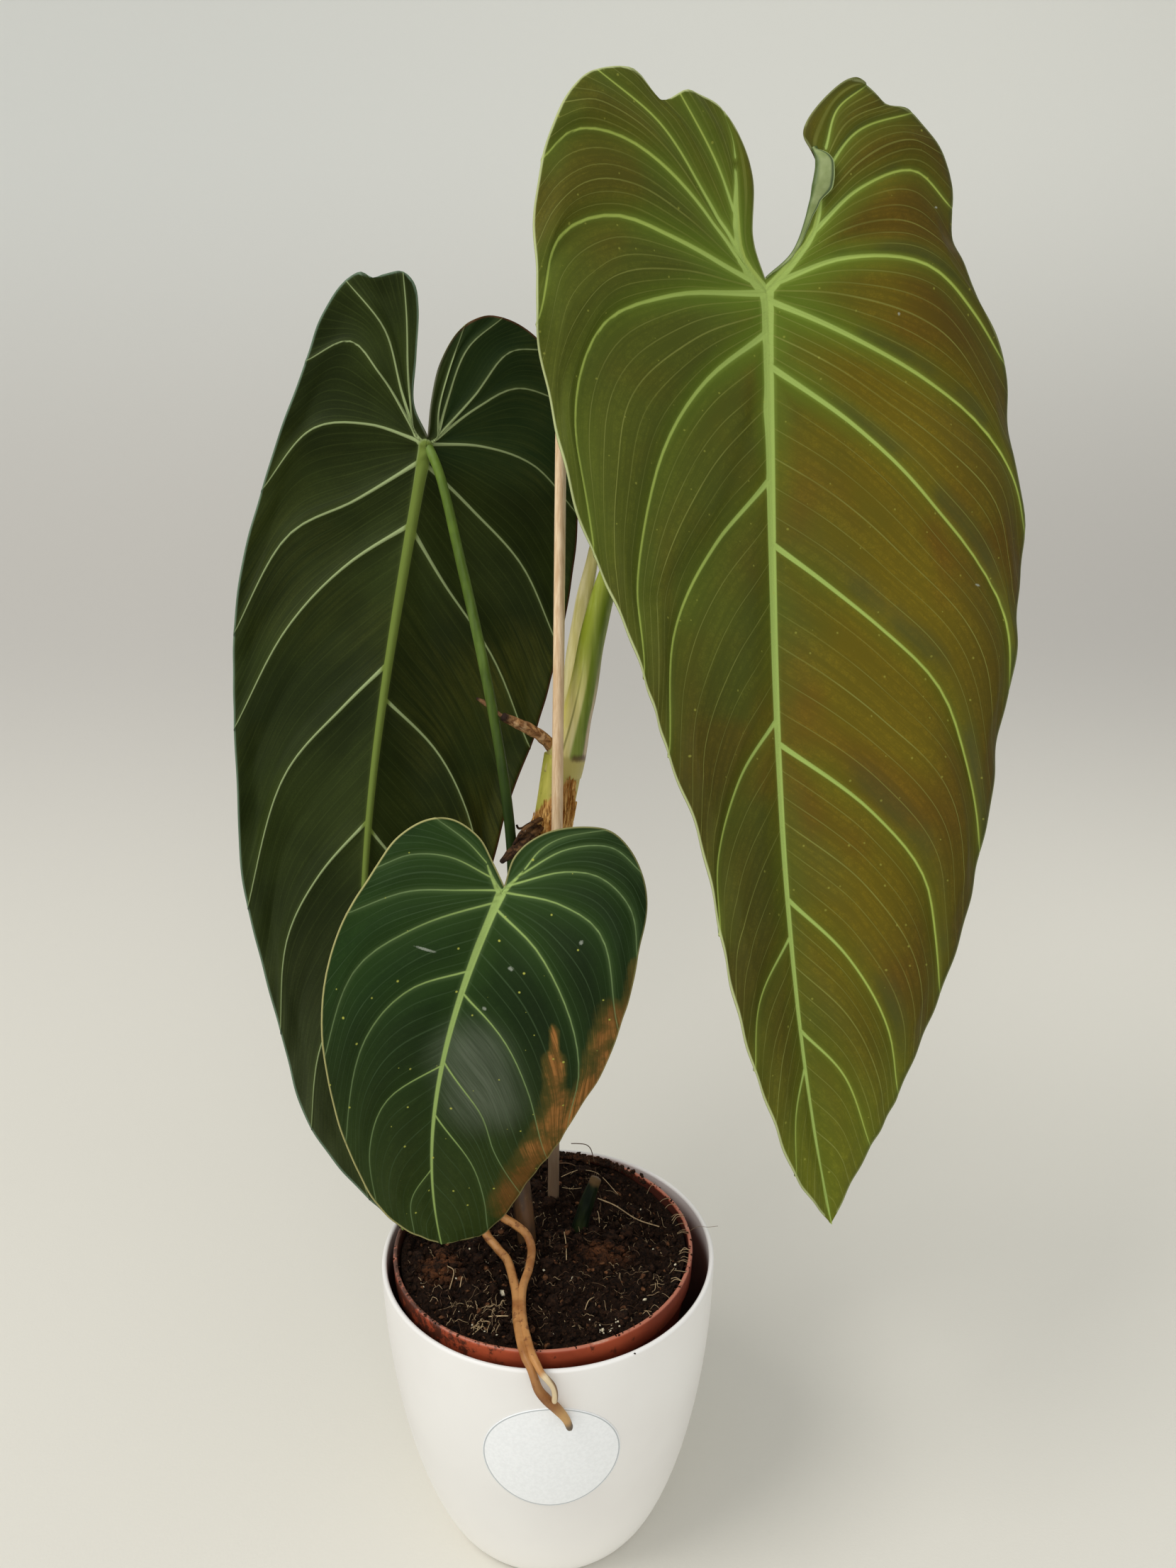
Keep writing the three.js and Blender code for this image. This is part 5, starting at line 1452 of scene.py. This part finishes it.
def fibres():
    """Root and coir fibres on the soil. A few long ones lie where the photograph shows them."""
    rng = random.Random(23)
    rods = Tubes()
    for _ in range(LYING_FIBRES):
        x, y = somewhere(rng, SOIL_R - 4.5)
        if clear_of_stems(x, y):
            length = 1.2 + 8 * rng.random() ** 2.2
            rods.add(lying(rng, x, y, rng.uniform(0, math.pi), length), rng.uniform(0.05, 0.15), 5, 11,
                     which=rng.random() ** 1.8)
    for _ in range(RIM_FIBRES):
        turn = math.radians(rng.gauss(0, 26))
        bends = ((-2.5, rng.uniform(-2, 2), -1.2), (-0.5, 0, rng.uniform(0, 0.8)),
                 (rng.uniform(1, 3), rng.uniform(-1, 1), 0.2))
        route = [((SOIL_R + reach) * math.cos(turn) + NURSERY_X, (SOIL_R + reach) * math.sin(turn) + aside,
                  NURSERY_RIM_Z + up) for reach, aside, up in bends]
        rods.add(route, rng.uniform(0.06, 0.12), 5, 12, which=rng.uniform(0.7, 1))
    for _ in range(STANDING_FIBRES):
        x, y = somewhere(rng, SOIL_R - 2)
        foot = np.array([x + NURSERY_X, y, rough_height(x, y) - 0.5])
        sway = np.array([rng.uniform(-1.5, 1.5), rng.uniform(-1.5, 1.5), rng.uniform(1.5, 4)])
        bow = np.array([rng.uniform(-0.8, 0.8), rng.uniform(-0.8, 0.8), 0])
        if clear_of_stems(x, y):
            route = [foot, foot + sway * 0.5 + bow, foot + sway]
            rods.add(route, eased(0.13, 0.04), 5, 10, which=rng.random())
    for _ in range(FRONT_FIBRES):
        x, y = rng.gauss(-20, 8), rng.gauss(-40, 6)
        if math.hypot(x, y) < SOIL_R - 2:
            rods.add(lying(rng, x, y, rng.uniform(0, math.pi), rng.uniform(2, 6), 0.3, 1.6),
                     rng.uniform(0.07, 0.14), 5, 14, which=rng.uniform(0.4, 1))
    for points, girth, tone in PLACED_FIBRES:
        route = [(x + NURSERY_X, y, rough_height(x, y) + up) for x, y, up in points]
        rods.add(route, girth, 8, 24, which=tone)
    rods.add(HAIR_LOOP, 0.2, 8, 40, which=0.1)
    rods.add(RIM_HAIR, 0.08, 6, 30, which=0.3)
    paint = Paint("fibre_skin", 0.8, 0.25)
    grain = paint.noise(700, 3, 0.6)
    paint.base = paint.mix(paint.mark("which"), (74, 48, 30), (206, 178, 134))
    paint.lay(grain.band(0.4, 0.7, 0.35, 0), (60, 40, 26))
    rods.finish("soil_fibres", paint.done(grain, 0.0003, 0.6), "soil", "peat")


# Camera, floor and light
def camera():
    data = bpy.data.cameras.new("photo_view")
    data.sensor_width = SENSOR
    data.sensor_fit = "AUTO"
    data.lens = LENS
    eye = bpy.data.objects.new("photo_view", data)
    eye.location = Vector(EYE) * MM
    eye.rotation_euler = (math.radians(90 - LOOK_DOWN), 0, 0)
    bpy.context.scene.collection.objects.link(eye)
    bpy.context.scene.camera = eye


def backdrop():
    """A pale floor that curves up into a wall. Its measures are in metres."""
    bend, far, wide, near, high = 0.9, 0.24, 2.6, -2.0, 2.6
    turns = np.linspace(0, math.pi / 2, 13)
    line = [(near, 0), *[(far + bend * math.sin(turn), bend * (1 - math.cos(turn))) for turn in turns],
            (far + bend, high)]
    across = np.linspace(-wide, wide, 9)
    points = [(x, y, z) for y, z in line for x in across]
    mesh = bpy.data.meshes.new("backdrop")
    mesh.from_pydata(points, [], grid_faces(len(line), len(across)).tolist())
    mesh.polygons.foreach_set("use_smooth", np.ones(len(mesh.polygons), bool))
    paint = Paint("backdrop_paper", 0.9, 0.2)
    east, height = paint.axis(0), paint.axis(2)
    # Painted light and shade: the floor is brighter to the east, the backdrop darker where it curves up, and
    # the upper wall lighter again and brighter to the east.
    floor_with_painted_light = paint.mix(east.band(0.05, 0.5), (223, 220, 209), (240, 237, 225))
    paint.base = paint.mix(height.band(-0.08, 0.24), floor_with_painted_light, (190, 187, 180))
    paint.lay(height.band(0.25, 0.8), paint.mix(east.band(-0.6, 0.6), (206, 207, 201), (224, 224, 216)))
    mesh.materials.append(paint.done(paint.noise(900, 2), 0.0002, 0.3))
    floor = bpy.data.objects.new("backdrop", mesh)
    bpy.context.scene.collection.objects.link(floor)


def lamp(name, place, target, size, watts, color=(1, 1, 1)):
    data = bpy.data.lights.new(name, "AREA")
    data.shape = "DISK"
    data.size = size
    data.energy = watts
    data.color = color
    light = bpy.data.objects.new(name, data)
    light.location = place
    light.rotation_euler = (Vector(target) - Vector(place)).to_track_quat("-Z", "Y").to_euler()
    bpy.context.scene.collection.objects.link(light)


def lights():
    world = bpy.data.worlds.new("studio")
    bpy.context.scene.world = world
    world.use_nodes = True
    background = world.node_tree.nodes["Background"]
    background.inputs["Color"].default_value = (0.97, 0.98, 1.0, 1)
    background.inputs["Strength"].default_value = 0.62
    lamp("key", (-0.9, -0.5, 1.6), (0, 0, 0.25), 0.9, 16, (1, 0.985, 0.96))
    lamp("fill", (0.2, -1.8, 0.9), (0, 0, 0.25), 1.2, 7)
    bpy.context.scene.view_settings.view_transform = "Standard"


for build in (leaves, stem, petioles, sheath, dead_bits, old_skin, stub, stake, roots, cover_pot, nursery_pot,
              label, soil_bed, crumbs, fibres, camera, backdrop, lights):
    build()
